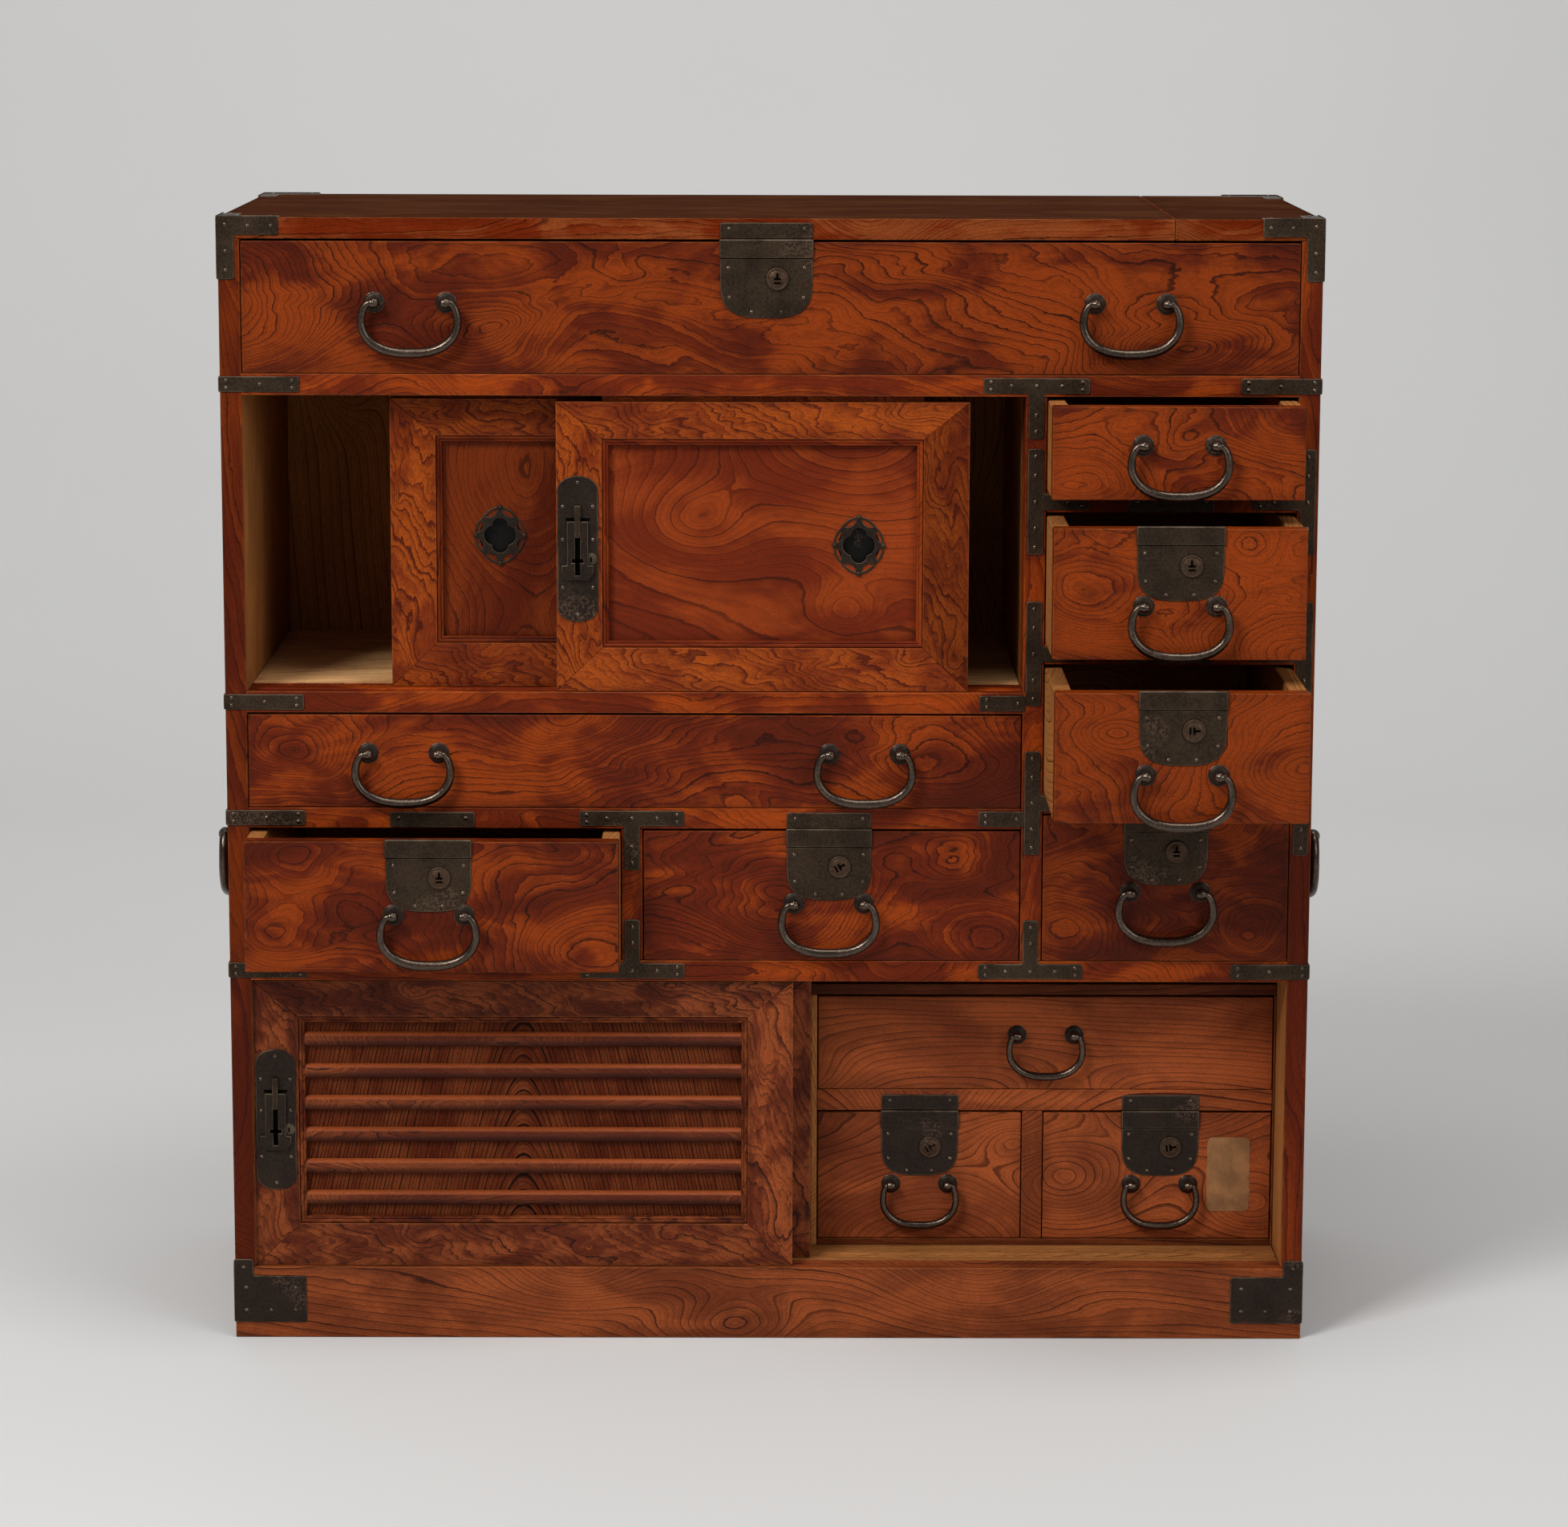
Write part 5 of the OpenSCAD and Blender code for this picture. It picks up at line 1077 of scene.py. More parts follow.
def mm_box(node):
    """A node's lowest and highest corner in millimetres."""
    low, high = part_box(node)
    return np.array(low) / MM, np.array(high) / MM


# Case

def grooved(depth, low, high, grooves, cut, upward):
    """Outline in Y and Z of a board with door grooves in its upper or lower face."""
    points = []
    for groove in sorted(grooves):
        edge, floor = (high, high - cut) if upward else (low, low + cut)
        points += [(groove - GROOVE / 2, edge), (groove - GROOVE / 2, floor), (groove + GROOVE / 2, floor),
                   (groove + GROOVE / 2, edge)]
    if upward:
        return np.array([(0, low), (0, high), *points, (depth, high), (depth, low)])
    return np.array([(0, high), (0, low), *points, (depth, low), (depth, high)])


def grooved_board(shape, x0, x1, start, outline, light=1.0, finish=0, figure=None):
    """A grooved board: its outline is carried along X, with its corners eased."""
    outline = outline + (FRONT + start, 0)
    slab(shape, facing_right(0), outline, x0, x1, radius=0.7, ease=0.4, rim=0.1, finish=finish,
         board=("x", light, 0.0, figure))


def rail(shape, x0, x1, low):
    """A front rail."""
    plank(shape, (x0, FRONT, low), (x1, FRONT + RAIL_D, low + RAIL))


def shelf(shape, x0, x1, top, start=RAIL_D, light=1.0, finish=1):
    """The board behind a rail, level with the rail's upper face."""
    plank(shape, (x0, FRONT + start + SEAM, top - SHELF), (x1, REAR, top), light=light, finish=finish)


def post(shape, ends, low, high, rear_high):
    """A front post and the partition board behind it."""
    plank(shape, (ends[0], FRONT, low + SEAM), (ends[1], FRONT + RAIL_D, high - SEAM), "z", 0.95)
    plank(shape, (ends[0], FRONT + RAIL_D + SEAM, low + SEAM), (ends[1], REAR, rear_high - SEAM), "y",
          finish=1)


def case_frame():
    """Rails, posts, shelves and the base."""
    # Each board's light here is painted light and shade: the base is brightened, and its end boards, the
    # lintel and the post's front are darkened.
    shape = Shape()
    start, rear = FRONT + BASE_FRONT + SEAM, BACK - BASE_REAR - SEAM
    grooved_board(shape, -SIDE, SIDE, 0,
                  grooved(BASE_FRONT, 0, BASE, LOWER_GROOVES[:1], SILL_GROOVE, True), 1.2, 2, BASE_FIGURE)
    plank(shape, (-SIDE, BACK - BASE_REAR, 0), (SIDE, BACK, BASE))
    plank(shape, (-BEARER, start, 0), (BEARER, rear, BASE - RAIL - SEAM), "y", finish=1)
    for side in (-1, 1):
        ends = sorted((side * IN, side * SIDE))
        plank(shape, (ends[0], start, 0), (ends[1], rear, BASE), "y", 0.82)
    sill = grooved(LINTEL_D - BASE_FRONT - SEAM, BASE - RAIL, BASE,
                   [LOWER_GROOVES[1] - BASE_FRONT - SEAM], SILL_GROOVE, True)
    grooved_board(shape, -IN + SEAM, IN - SEAM, BASE_FRONT + SEAM, sill, finish=1)
    plank(shape, (-IN + SEAM, FRONT + LINTEL_D + SEAM, BASE - SHELF), (IN - SEAM, rear, BASE), finish=1)
    grooved_board(shape, -IN, IN, 0,
                  grooved(LINTEL_D, LOW_TOP, TWIN, LOWER_GROOVES, HEAD_GROOVE, False), 0.96)
    shelf(shape, -IN, IN, TWIN, LINTEL_D)
    rail(shape, -IN, POST[0] - SEAM, TWIN_TOP)
    shelf(shape, -IN, POST[0] - SEAM, WIDE)
    grooved_board(shape, -IN, POST[0] - SEAM, 0,
                  grooved(RAIL_D, WIDE_TOP, CUPBOARD, UPPER_GROOVES, SILL_GROOVE, True))
    # The cupboard's floor is painted lit: the paler softwood, brightened further by its light of 1.7.
    shelf(shape, -IN, POST[0] - SEAM, CUPBOARD, light=1.7, finish=3)
    grooved_board(shape, -IN, IN, 0,
                  grooved(RAIL_D, CUPBOARD_TOP, TOP, UPPER_GROOVES, HEAD_GROOVE, False))
    shelf(shape, -IN, IN, TOP)
    for level in COLUMN_RAILS:
        rail(shape, POST[1] + SEAM, IN, level - RAIL)
        shelf(shape, POST[1] + SEAM, IN, level)
    post(shape, POST, TWIN, CUPBOARD_TOP, TOP - SHELF)
    post(shape, TWIN_POST, TWIN, TWIN_TOP, WIDE - SHELF)
    shape.build("case_frame", "case", "lacquered_zelkova",
                ["case_lacquer", "raw_softwood", "base_lacquer", "lit_floor_softwood"], "frame_and_base")


def case_shell():
    """Top board, side boards and back boards."""
    shape = Shape()
    half_seam = SEAM / 2
    plank(shape, (-SIDE, FRONT, TOP_TOP), (TOP_JOINT - half_seam, BACK, CASE_TOP), light=1.05)
    plank(shape, (TOP_JOINT + half_seam, FRONT, TOP_TOP), (SIDE, BACK, CASE_TOP))
    shape.build("top_board_wood", "case", "lacquered_zelkova", ["top_lacquer"], "top_board")
    shape = Shape()
    # Painted light and shade: the left side board is darker than the right, and their inner faces, lined
    # with softwood, are brightened.
    for side in (-1, 1):
        ends = sorted((side * IN, side * SIDE))
        plank(shape, (ends[0], FRONT, BASE), (ends[1], BACK, TOP_TOP), "z", 0.68 + 0.09 * side,
              lining=(INNER_FACE[side], 1.1, 1))
    shape.build("side_boards_wood", "case", "lacquered_zelkova", ["side_lacquer", "raw_softwood"],
                "side_boards")
    shape = Shape()
    edges = np.linspace(-IN, IN, BACK_BOARDS + 1)
    for i, (left, right) in enumerate(zip(edges[:-1], edges[1:])):
        figure = ((0.03, 0.5, 1.1), [(9 * i - 22, 1.0, 3.4), (28 - 8 * i, -2.0, 2.4), (0, 0, 0)])
        plank(shape, (left + half_seam, REAR, BASE), (right - half_seam, BACK, TOP_TOP), "z", 1.2, ease=0.5,
              figure=figure, lining=(REAR_FACE, 0.8, 0))
    shape.build("back_boards_wood", "case", "pale_softwood", ["raw_softwood"], "back_boards")


def inner_cabinet():
    """The open-fronted cabinet behind the lower doors: sides, bottom, top, back, rail, shelf and post."""
    shape = Shape()
    left, right = INNER_IN[0] + SEAM, INNER_IN[1] - SEAM
    post_left, post_right = INNER_POST
    rail_low, rail_high = INNER_RAIL
    top = INNER_CEILING - SEAM
    back = INNER_BACK - INNER_BACK_T - SEAM
    rail_back = INNER_FRONT + INNER_RAIL_D
    shelf_low = rail_high - INNER_SHELF
    # Painted light and shade: the left side, the post and most of all the rail are brightened, and the floor
    # and the top are darkened.
    plank(shape, (INNER_LEFT, INNER_FRONT, BASE), (INNER_IN[0], INNER_BACK, top), "z", 1.5)
    plank(shape, (INNER_IN[1], INNER_FRONT, BASE), (IN, INNER_BACK, top), "z", finish=1)
    plank(shape, (left, INNER_FRONT, BASE), (right, back, INNER_FLOOR), light=0.8, finish=1)
    plank(shape, (INNER_LEFT, INNER_FRONT, INNER_CEILING), (IN, INNER_BACK, INNER_TOP), light=0.7, finish=1)
    plank(shape, (left, back + SEAM, BASE), (right, INNER_BACK, top), "z")
    plank(shape, (left, INNER_FRONT, rail_low), (right, rail_back, rail_high), light=1.8, finish=1)
    plank(shape, (left, rail_back + SEAM, shelf_low), (right, back, rail_high))
    plank(shape, (post_left, INNER_FRONT, INNER_FLOOR + SEAM), (post_right, rail_back, rail_low - SEAM), "z",
          1.5, finish=1)
    plank(shape, (post_left, rail_back + SEAM, INNER_FLOOR + SEAM), (post_right, back, shelf_low - SEAM),
          "y")
    shape.build("inner_cabinet_wood", "case", "pale_softwood", ["raw_softwood", "tan_lacquer"],
                "inner_cabinet")


# Drawers

def make_of(name):
    """How a drawer is made."""
    return INNER_MAKE if name.startswith("inner") else MAIN_MAKE


def drawer(name):
    """A drawer's front, and its box of two sides, a back and a bottom."""
    low, high = mm_box(name)
    own, make = DRAWERS[name], make_of(name)
    front_t, side_t = make["front"], make["side"]
    front = Shape()
    plank(front, low, (high[0], low[1] + front_t, high[2]), light=own["light"], warm=own["warm"],
          figure=(own["flow"], own["eyes"]))
    front.build(f"{name}_front", name, "lacquered_zelkova", [make["wood"]], name)
    box = Shape()
    start = low[1] + front_t + SEAM
    rear = high[1] - DRAWER_BACK
    top = high[2] - DRAWER_DROP
    left, right = low[0] + side_t + SEAM, high[0] - side_t - SEAM
    for x in (low[0], high[0] - side_t):
        plank(box, (x, start, low[2]), (x + side_t, high[1], top), "y")
    plank(box, (left, rear, low[2]), (right, high[1], top))
    plank(box, (left, start, low[2] + DRAWER_BOTTOM[0]), (right, rear - SEAM, low[2] + DRAWER_BOTTOM[1]),
          "y", 0.85)
    box.build(f"{name}_box", name, "pale_softwood", ["raw_softwood"], name)


# Sliding doors

def bead(shape, x0, z0, x1, z1, y, light, finish):
    """The moulding round a panel: a profile of two small rounds, an inset and a height at each point,
    carried along the four sides and mitred at the corners."""
    t = np.linspace(0, np.pi, 5)
    outer = np.stack([1.5 - 1.5 * np.cos(t), 6.2 + 0.7 * np.sin(t)], 1)
    inner = np.stack([4.0 - 1.0 * np.cos(t), 5.2 + 0.9 * np.sin(t)], 1)
    profile = np.concatenate([[[0.0, 0.2]], outer, inner, [[BEAD, 0.2]]])
    _, soft = profile_normals(profile)
    corners = oblong(x0, z0, x1, z1)
    inward = np.array([[1, 1], [-1, 1], [-1, -1], [1, -1]], float)
    plane = facing_front(y + PANEL_BACK)
    count = len(profile)
    ids = np.arange(count - 1)
    quads = np.stack([ids, ids + count, ids + count + 1, ids + 1], 1)
    for i, grain in enumerate("xzxz"):
        j = (i + 1) % 4
        way = (corners[j] - corners[i]) / np.linalg.norm(corners[j] - corners[i])
        into = np.array([-way[1], way[0]])
        points = np.concatenate([plane.lift(corners[k] + profile[:, :1] * inward[k], profile[:, 1])
                                 for k in (i, j)])
        normals = -(plane.turn(soft[:, :1] * into) + soft[:, 1:] * plane.n)
        shape.add(points, [(quads, np.concatenate([normals, normals]))], finish,
                  **board_fields(points, points[0] - BEAD_STOCK, points[0] + BEAD_STOCK, grain, light * 0.9,
                                 0.0))


def slats(shape, x0, x1, middle, y, light, finish):
    """Six slats across a panel: a half round, its height the sine of the angle to a small power, carried
    along X."""
    t = np.linspace(0, np.pi, 13)
    for i in range(SLATS):
        z = middle + (i - (SLATS - 1) / 2) * SLAT_STEP
        outline = np.stack([y + PANEL_BACK - SEAM - SLAT_R * np.sin(t) ** 0.7, z - SLAT_R * np.cos(t)], 1)
        slab(shape, facing_right(0), outline, x0, x1, ease=0.3, rim=0.3, finish=finish,
             board=("x", light, 0.0))


def door(name, sizes, figure, lights, hole=None, slatted=False, light=1.0, warm=0.0, grain="x"):
    """A sliding door: a mitred frame, its tongues, a panel, the bead round it, and slats on a lower one. The
    lights are those of the left, right, lower and upper bar against the door's own. The door's light and the
    bars' lights are painted light and shade; the door's light also sets the panel, the bead and the slats."""
    w, h, tongue = sizes
    low, _ = mm_box(name)
    x0, y, z0 = low[0], low[1], low[2] + DOOR_FOOT
    s, b, t, m = STILE, DOOR_BOTTOM, h - DOOR_TOP, MITRE
    shape = Shape()
    plane = facing_front(y, (x0, z0))
    bars = [([(0, 2 * m), (s - m, b), (s - m, t), (0, h - 2 * m)], "z"),
            ([(w, 2 * m), (w, h - 2 * m), (w - s + m, t), (w - s + m, b)], "z"),
            ([(2 * m, 0), (w - 2 * m, 0), (w - s, b - m), (s, b - m)], "x"),
            ([(s, t + m), (w - s, t + m), (w - 2 * m, h), (2 * m, h)], "x")]
    for i, (outline, way) in enumerate(bars):
        slab(shape, plane, outline, -DOOR_T, 0.0, ease=0.25, rim=0.2,
             board=(way, light * lights[i], warm, FRAME_FIGURE))
    tongue_y = y + (DOOR_T - TONGUE_T) / 2
    for z_low, z_high in ((-DOOR_FOOT, 0), (h, h + tongue)):
        plank(shape, (x0 + s, tongue_y, z0 + z_low), (x0 + w - s, tongue_y + TONGUE_T, z0 + z_high),
              ease=0.4)
    panel = oblong(s + 2 * m, b + 2 * m, w - s - 2 * m, t - 2 * m)
    holes = [circle(40) * (CUP_R + 0.3) + (hole[0] - x0, hole[1] - z0)] if hole else []
    slab(shape, plane, panel, -PANEL_BACK - PANEL_T, -PANEL_BACK, holes, ease=0.05, rim=0.1, finish=1,
         board=(grain, light * 0.96, warm * 0.5, figure))
    bead(shape, x0 + s + m, z0 + b + m, x0 + w - s - m, z0 + t - m, y, light, 0 if slatted else 1)
    finishes = ["burl_lacquer", "panel_lacquer"]
    if slatted:
        slats(shape, x0 + s + BEAD + m, x0 + w - s - BEAD - m, z0 + (b + t) / 2, y, light * 1.12, 2)
        finishes = ["umber_lacquer", "slat_ground", "slat_lacquer"]
    shape.build(f"{name}_wood", name, "door_zelkova", finishes, name)


# Irons

def flap(shape, low, high, reach, finish=0):
    """An iron flap on the right side, bent round from the front."""
    slab(shape, facing_right(SIDE), oblong(FRONT - LAP, low, FRONT + reach, high), 0.0, PLATE, radius=1.5,
         finish=finish)


def top_corner(shape):
    """The iron over the right front top corner: an L on the front, one on the top and one on the side."""
    x, z = SIDE, CASE_TOP
    reach, drop, wide, stem = 48, 49, 14, 13
    lap, back = FRONT - LAP, FRONT + reach
    front = [(x + PLATE, z + PLATE), (x - reach, z + PLATE), (x - reach, z - wide), (x - stem, z - wide),
             (x - stem, z - drop), (x + PLATE, z - drop)]
    ironwork(shape, facing_front(FRONT), front,
             [(x - 6, z - 6), (x - 24, z - 7), (x - 42, z - 7), (x - 6, z - 27), (x - 6, z - 42)])
    cap = [(x, lap), (x, back), (x - wide, back), (x - wide, FRONT + wide), (x - reach, FRONT + wide),
           (x - reach, lap)]
    ironwork(shape, facing_up(z), cap, [(x - 7, back - 7), (x - 41, FRONT + 7), (x - 8, FRONT + 9)],
             thick=PLATE - 0.8)
    side = [(lap, z - drop), (FRONT + wide, z - drop), (FRONT + wide, z - wide), (back, z - wide),
            (back, z + PLATE), (lap, z + PLATE)]
    ironwork(shape, facing_right(x), side, [(back - 7, z - 7), (FRONT + 7, z - 42), (FRONT + 8, z - 8)])


def base_corner(shape):
    """The iron round the right front foot of the case, with a tab up the side board."""
    x, z = SIDE, IRON_FOOT
    reach, high, tab, tab_high = 58, 39, 15, 53
    front = [(x + PLATE, z), (x + PLATE, z + tab_high), (x - tab, z + tab_high), (x - tab, z + high),
             (x - reach, z + high), (x - reach, z)]
    # The darker iron here is a painted shade: this low corner gets less light.
    ironwork(shape, facing_front(FRONT), front,
             [(x - 7, z + 46), (x - 9, z + 29), (x - 49, z + 29), (x - 9, z + 10), (x - 29, z + 10),
              (x - 49, z + 10)], 2.5, finish=2)
    flap(shape, z, z + high, reach, finish=2)
    nails(shape, facing_right(x), [(FRONT + 49, z + 29), (FRONT + 49, z + 10), (FRONT + 12, z + 20)])


def rail_strap(shape, z):
    """A strap over the end of a rail at the right, bent round onto the side."""
    h = STRAP / 2
    x = SIDE
    ironwork(shape, facing_front(FRONT), oblong(x - 63, z - h, x + PLATE, z + h),
             [(x - 5, z + 3), (x - 5, z - 3), (x - 31.5, z), (x - 57, z + 3), (x - 57, z - 3)])
    flap(shape, z - h, z + h, 40)
    nails(shape, facing_right(x), [(FRONT + 34, z + 3), (FRONT + 34, z - 3), (FRONT + 14, z)])


def tee(shape, x, z, way, arm):
    """A T plate: an upright head at x, and an arm to the left (-1) or right (1)."""
    h, half = STRAP / 2, TEE_HALF
    outline = [(-h, -half), (h, -half), (h, -h), (arm, -h), (arm, h), (h, h), (h, half), (-h, half)]
    places = [(0, 6 - half), (0, -half / 2), (0, 0), (0, half / 2), (0, half - 6), (arm - 6, 3),
              (arm - 6, -3), (arm - 17, 0)]
    ironwork(shape, facing_front(FRONT), np.array(outline) * (way, 1) + (x, z),
             np.array(places) * (way, 1) + (x, z), 2.5)


def head_plate(shape, x, z, way):
    """A T plate with a level head on a rail and a stem down (-1) or up (1) a post."""
    h, half = STRAP / 2, TEE_HALF
    outline = [(-half, -h), (-h, -h), (-h, -half), (h, -half), (h, -h), (half, -h), (half, h), (-half, h)]
    places = [(6 - half, 3), (6 - half, -3), (0, 0), (half - 6, 3), (half - 6, -3), (-20, 0), (20, 0),
              (0, 6 - half), (0, -half / 2 - 2)]
    ironwork(shape, facing_front(FRONT), np.array(outline) * (1, -way) + (x, z),
             np.array(places) * (1, -way) + (x, z), 2.5)


def strike(shape, plane, x, z, width, finish):
    """The plate on a rail over a lock."""
    half = width / 2
    ironwork(shape, plane, oblong(x - half, z + 1, x + half, z + 13.5),
             [(x - half + 7, z + 8.5), (x + half - 7, z + 8.5)], finish=finish)


def eye(shape, plane, centre, out, scale=1.0):
    """A bail's fixing: a domed washer with a bright rim, a short stem, and the barrel-shaped head that the
    bail turns in, whose radius is a circle's with two shallow grooves."""
    r, ball = size("washer") * scale, size("ball") * scale
    t = np.linspace(0, np.pi / 2, 6)
    dome = np.stack([r * 0.94 * np.cos(t) ** 0.9, 0.95 + 2.0 * np.sin(t) ** 1.1], 1)
    turned(shape, plane, centre, [(r, 0.0), (r, 0.55), (r * 0.975, 0.9), dome[0]], 32, 1, 0.7)
    turned(shape, plane, centre, [*dome[:-1], (0, dome[-1, 1])], 32, 2)
    turned(shape, plane, centre, [(2.0 * scale, 1.5), (2.0 * scale, out)], 12, 1)
    t = np.linspace(-0.47 * np.pi, np.pi / 2, 19)
    height = np.sin(t)
    groove = 0.12 * (np.exp(-((height - 0.34) / 0.1) ** 2) + np.exp(-((height + 0.34) / 0.1) ** 2))
    barrel = np.stack([ball * np.cos(t) * (1 - groove), ball * 1.08 * height], 1)
    barrel[-1, 0] = 0
    turned(shape, Plane(plane.lift([centre], out - 0.5)[0], plane.v, plane.n), (0, 0), barrel, 24, 1, 0.7)


def keep_left(shape, pair):
    """Adds to a shape only the mirrored, left half of a pair."""
    count = len(pair.patches) // 2
    start = pair.total // 2
    points = np.concatenate(pair.points)[start:]
    fields = {name: np.concatenate(values)[start:] for name, values in pair.fields.items()}
    for name in shape.FIELDS:
        shape.fields[name].append(fields[name])
    shape.patches += [(faces - start + shape.total, normals, finish)
                      for faces, normals, finish in pair.patches[count:]]
    shape.points.append(points)
    shape.total += len(points)


def case_irons():
    """All irons of the case: corners, straps, T plates, strike plates and the side bails' eyes."""
    shape = Shape()
    top_corner(shape)
    base_corner(shape)
    shape.reflect(1)
    rail_strap(shape, TOP - RAIL / 2)
    rail_strap(shape, TWIN - RAIL / 2)
    for way in (-1, 1):
        eye(shape, facing_right(SIDE), (way * SIDE_BAIL["pins"] / 2, SIDE_PINS_Z), SIDE_PINS_OUT, SIDE_EYE)
    shape.reflect(0)
    left = Shape()
    rail_strap(left, CUPBOARD - RAIL / 2)
    rail_strap(left, WIDE - RAIL / 2)
    left.reflect(0)
    keep_left(shape, left)
    middle = (POST[0] + POST[1]) / 2
    for level in COLUMN_RAILS:
        tee(shape, SIDE - RAIL / 2, level - RAIL / 2, -1, 44.0)
        tee(shape, middle, level - RAIL / 2, 1, 43.0)
    head_plate(shape, middle, TOP - RAIL / 2, -1)
    head_plate(shape, middle, TWIN - RAIL / 2, 1)
    twin = (TWIN_POST[0] + TWIN_POST[1]) / 2
    head_plate(shape, twin, WIDE - RAIL / 2, -1)
    head_plate(shape, twin, TWIN - RAIL / 2, 1)
    h = STRAP / 2
    for level in (CUPBOARD, WIDE):
        z = level - RAIL / 2
        ironwork(shape, facing_front(FRONT), oblong(middle - 43, z - h, middle - h - SEAM, z + h),
                 [(middle - 37, z + 3), (middle - 37, z - 3), (middle - 12, z)])
    for name, level in STRIKE_LEVELS.items():
        x, (width, _), _, _ = DRAWERS[name]["lock"]
        front = INNER_FRONT if name.startswith("inner") else FRONT
        strike(shape, facing_front(front), x, level, width, make_of(name)["iron"])
    shape.build("case_ironwork", "case", "dark_iron", ["forged_iron", "polished_iron", "darker_iron"],
                "case_irons")


def lock_outline(width, height):
    """Outline of a lock plate below its band: straight sides, and a curve whose x and z are the cosine and
    sine of an angle to a power."""
    t = np.linspace(0, np.pi, 25)
    cos, sin = np.cos(t), np.sin(t)
    straight = height * 0.45
    curve = np.stack([-width / 2 * np.sign(cos) * np.abs(cos) ** 0.62,
                      -straight - (height - straight) * np.abs(sin) ** 0.62], 1)
    top = BAND[0] - 0.2
    return np.concatenate([[(width / 2, top), (-width / 2, top)], curve])


def lock(shape, x, top, y, sizes, front_t, finish):
    """A lock on a drawer's face: plate, raised band, nails, the ring chased round the keyhole disc, and the
    lock case behind the front."""
    w, h = sizes
    plane = facing_front(y, (x, top))
    slab(shape, plane, lock_outline(w, h), 0.0, PLATE, ease=0.5, finish=finish)
    half = w / 2 + 0.6
    slab(shape, plane, oblong(-half, BAND[0], half, BAND[1]), 0.0, BAND_T, radius=1.4, ease=1.0, rim=0.8,
         finish=finish)
    nails(shape, plane, [(side * w * across, -h * down) for side in (-1, 1) for across, down in LOCK_NAILS])
    ring = [(10.0, PLATE - 0.3), (9.7, PLATE + 0.3), (9.0, PLATE + 0.32), (8.8, PLATE + 0.2),
            (0, PLATE + 0.2)]
    turned(shape, plane, (DISC[0], -DISC[1]), ring, 32, 2)
    plank(shape, (x - LOCK_CASE[0], y + front_t - 7, top - LOCK_CASE[1]),
          (x + LOCK_CASE[0], y + front_t + 0.3, top - LOCK_CASE[2]), ease=0.8)


def clenched(shape, x, z, y, front_t):
    """The two legs of a split pin, bent over behind the drawer's front."""
    t = np.linspace(0, 1, 7)[:, None]
    for way in (-1, 1):
        line = np.array([x, y + front_t - 1, z]) + t * (0, 1.9, 0) + t ** 2 * (0, 0, way * 9.0)
        drawn(shape, line, 1.0 - 0.5 * t[:, 0], X, 8)


def keyhole_disc(name, centre, y, turn):
    """The disc over a keyhole: a turned disc with a fine groove near its rim, and the dark slots in its
    face, which start upright and are turned with it. The slots are near-black patches laid on the face, a
    painted shade standing for the holes."""
    shape = Shape()
    profile = [(9.1, PLATE), (9.1, 2.5), (8.8, 2.85), (7.3, 2.9), (7.1, 2.7), (6.8, 2.72), (6.6, 2.9),
               (0, 2.9)]
    turned(shape, facing_front(y, centre), (0, 0), profile, 36)
    cos, sin = math.cos(math.radians(turn)), math.sin(math.radians(turn))
    plane = Plane((centre[0], y, centre[1]), X * cos - Z * sin, X * sin + Z * cos)
    for x, z, w, h in KEYHOLE:
        slab(shape, plane, oblong(x - w / 2, z - h / 2, x + w / 2, z + h / 2), 2.5, 2.93, radius=0.25,
             ease=0.03, rim=0.05, finish=1)
    shape.build(f"{name}_forged", name, "dark_iron", ["disc_iron", "hole_shade"], name)


def drawer_irons(name):
    """The eyes of a drawer's bails and its lock."""
    low, high = mm_box(name)
    own, make = DRAWERS[name], make_of(name)
    shape = Shape()
    plane = facing_front(low[1])
    for _, x, drop in own["bails"]:
        for side in (-1, 1):
            centre = (x + side * make["bail"]["pins"] / 2, high[2] - drop)
            eye(shape, plane, centre, make["out"], make["eye"])
            clenched(shape, *centre, low[1], make["front"])
    if own["lock"]:
        x, sizes, disc, turn = own["lock"]
        lock(shape, x, high[2], low[1], sizes, make["front"], make["iron"])
        keyhole_disc(disc, (x + DISC[0], high[2] - DISC[1]), low[1], turn)
    shape.build(f"{name}_ironwork", name, "dark_iron", ["forged_iron", "polished_iron", "darker_iron"],
                f"{name}_irons")


def bail_line(width, pins, drop, waist, belly):
    """The middle line of a bail from its left eye to its right one: a quarter ellipse out of each eye, then
    one down to the middle, whose cosine is taken to a power below one, so that the foot of the bail is
    flatter. Returns the points across and down, and the share of the way to the middle."""
    a = width / 2 - waist
    x0 = pins / 2 + 3.0
    fall = drop - belly
    b, c = fall * 0.37, fall * 0.63
    u = np.linspace(0, np.pi / 2, 9)[:-1]
    v = np.linspace(0, np.pi / 2, 18)
    out = np.stack([x0 + (a - x0) * np.sin(u), -b + b * np.cos(u), 0.35 * u / (np.pi / 2)], 1)
    down = np.stack([a * np.cos(v) ** 0.8, -b - c * np.sin(v), 0.35 + 0.65 * v / (np.pi / 2)], 1)
    half = np.concatenate([[(pins / 2 - 0.5, 0.0, 0.0)], out, down])
    left = half * (-1, 1, 1)
    return np.concatenate([left, half[-2::-1]])


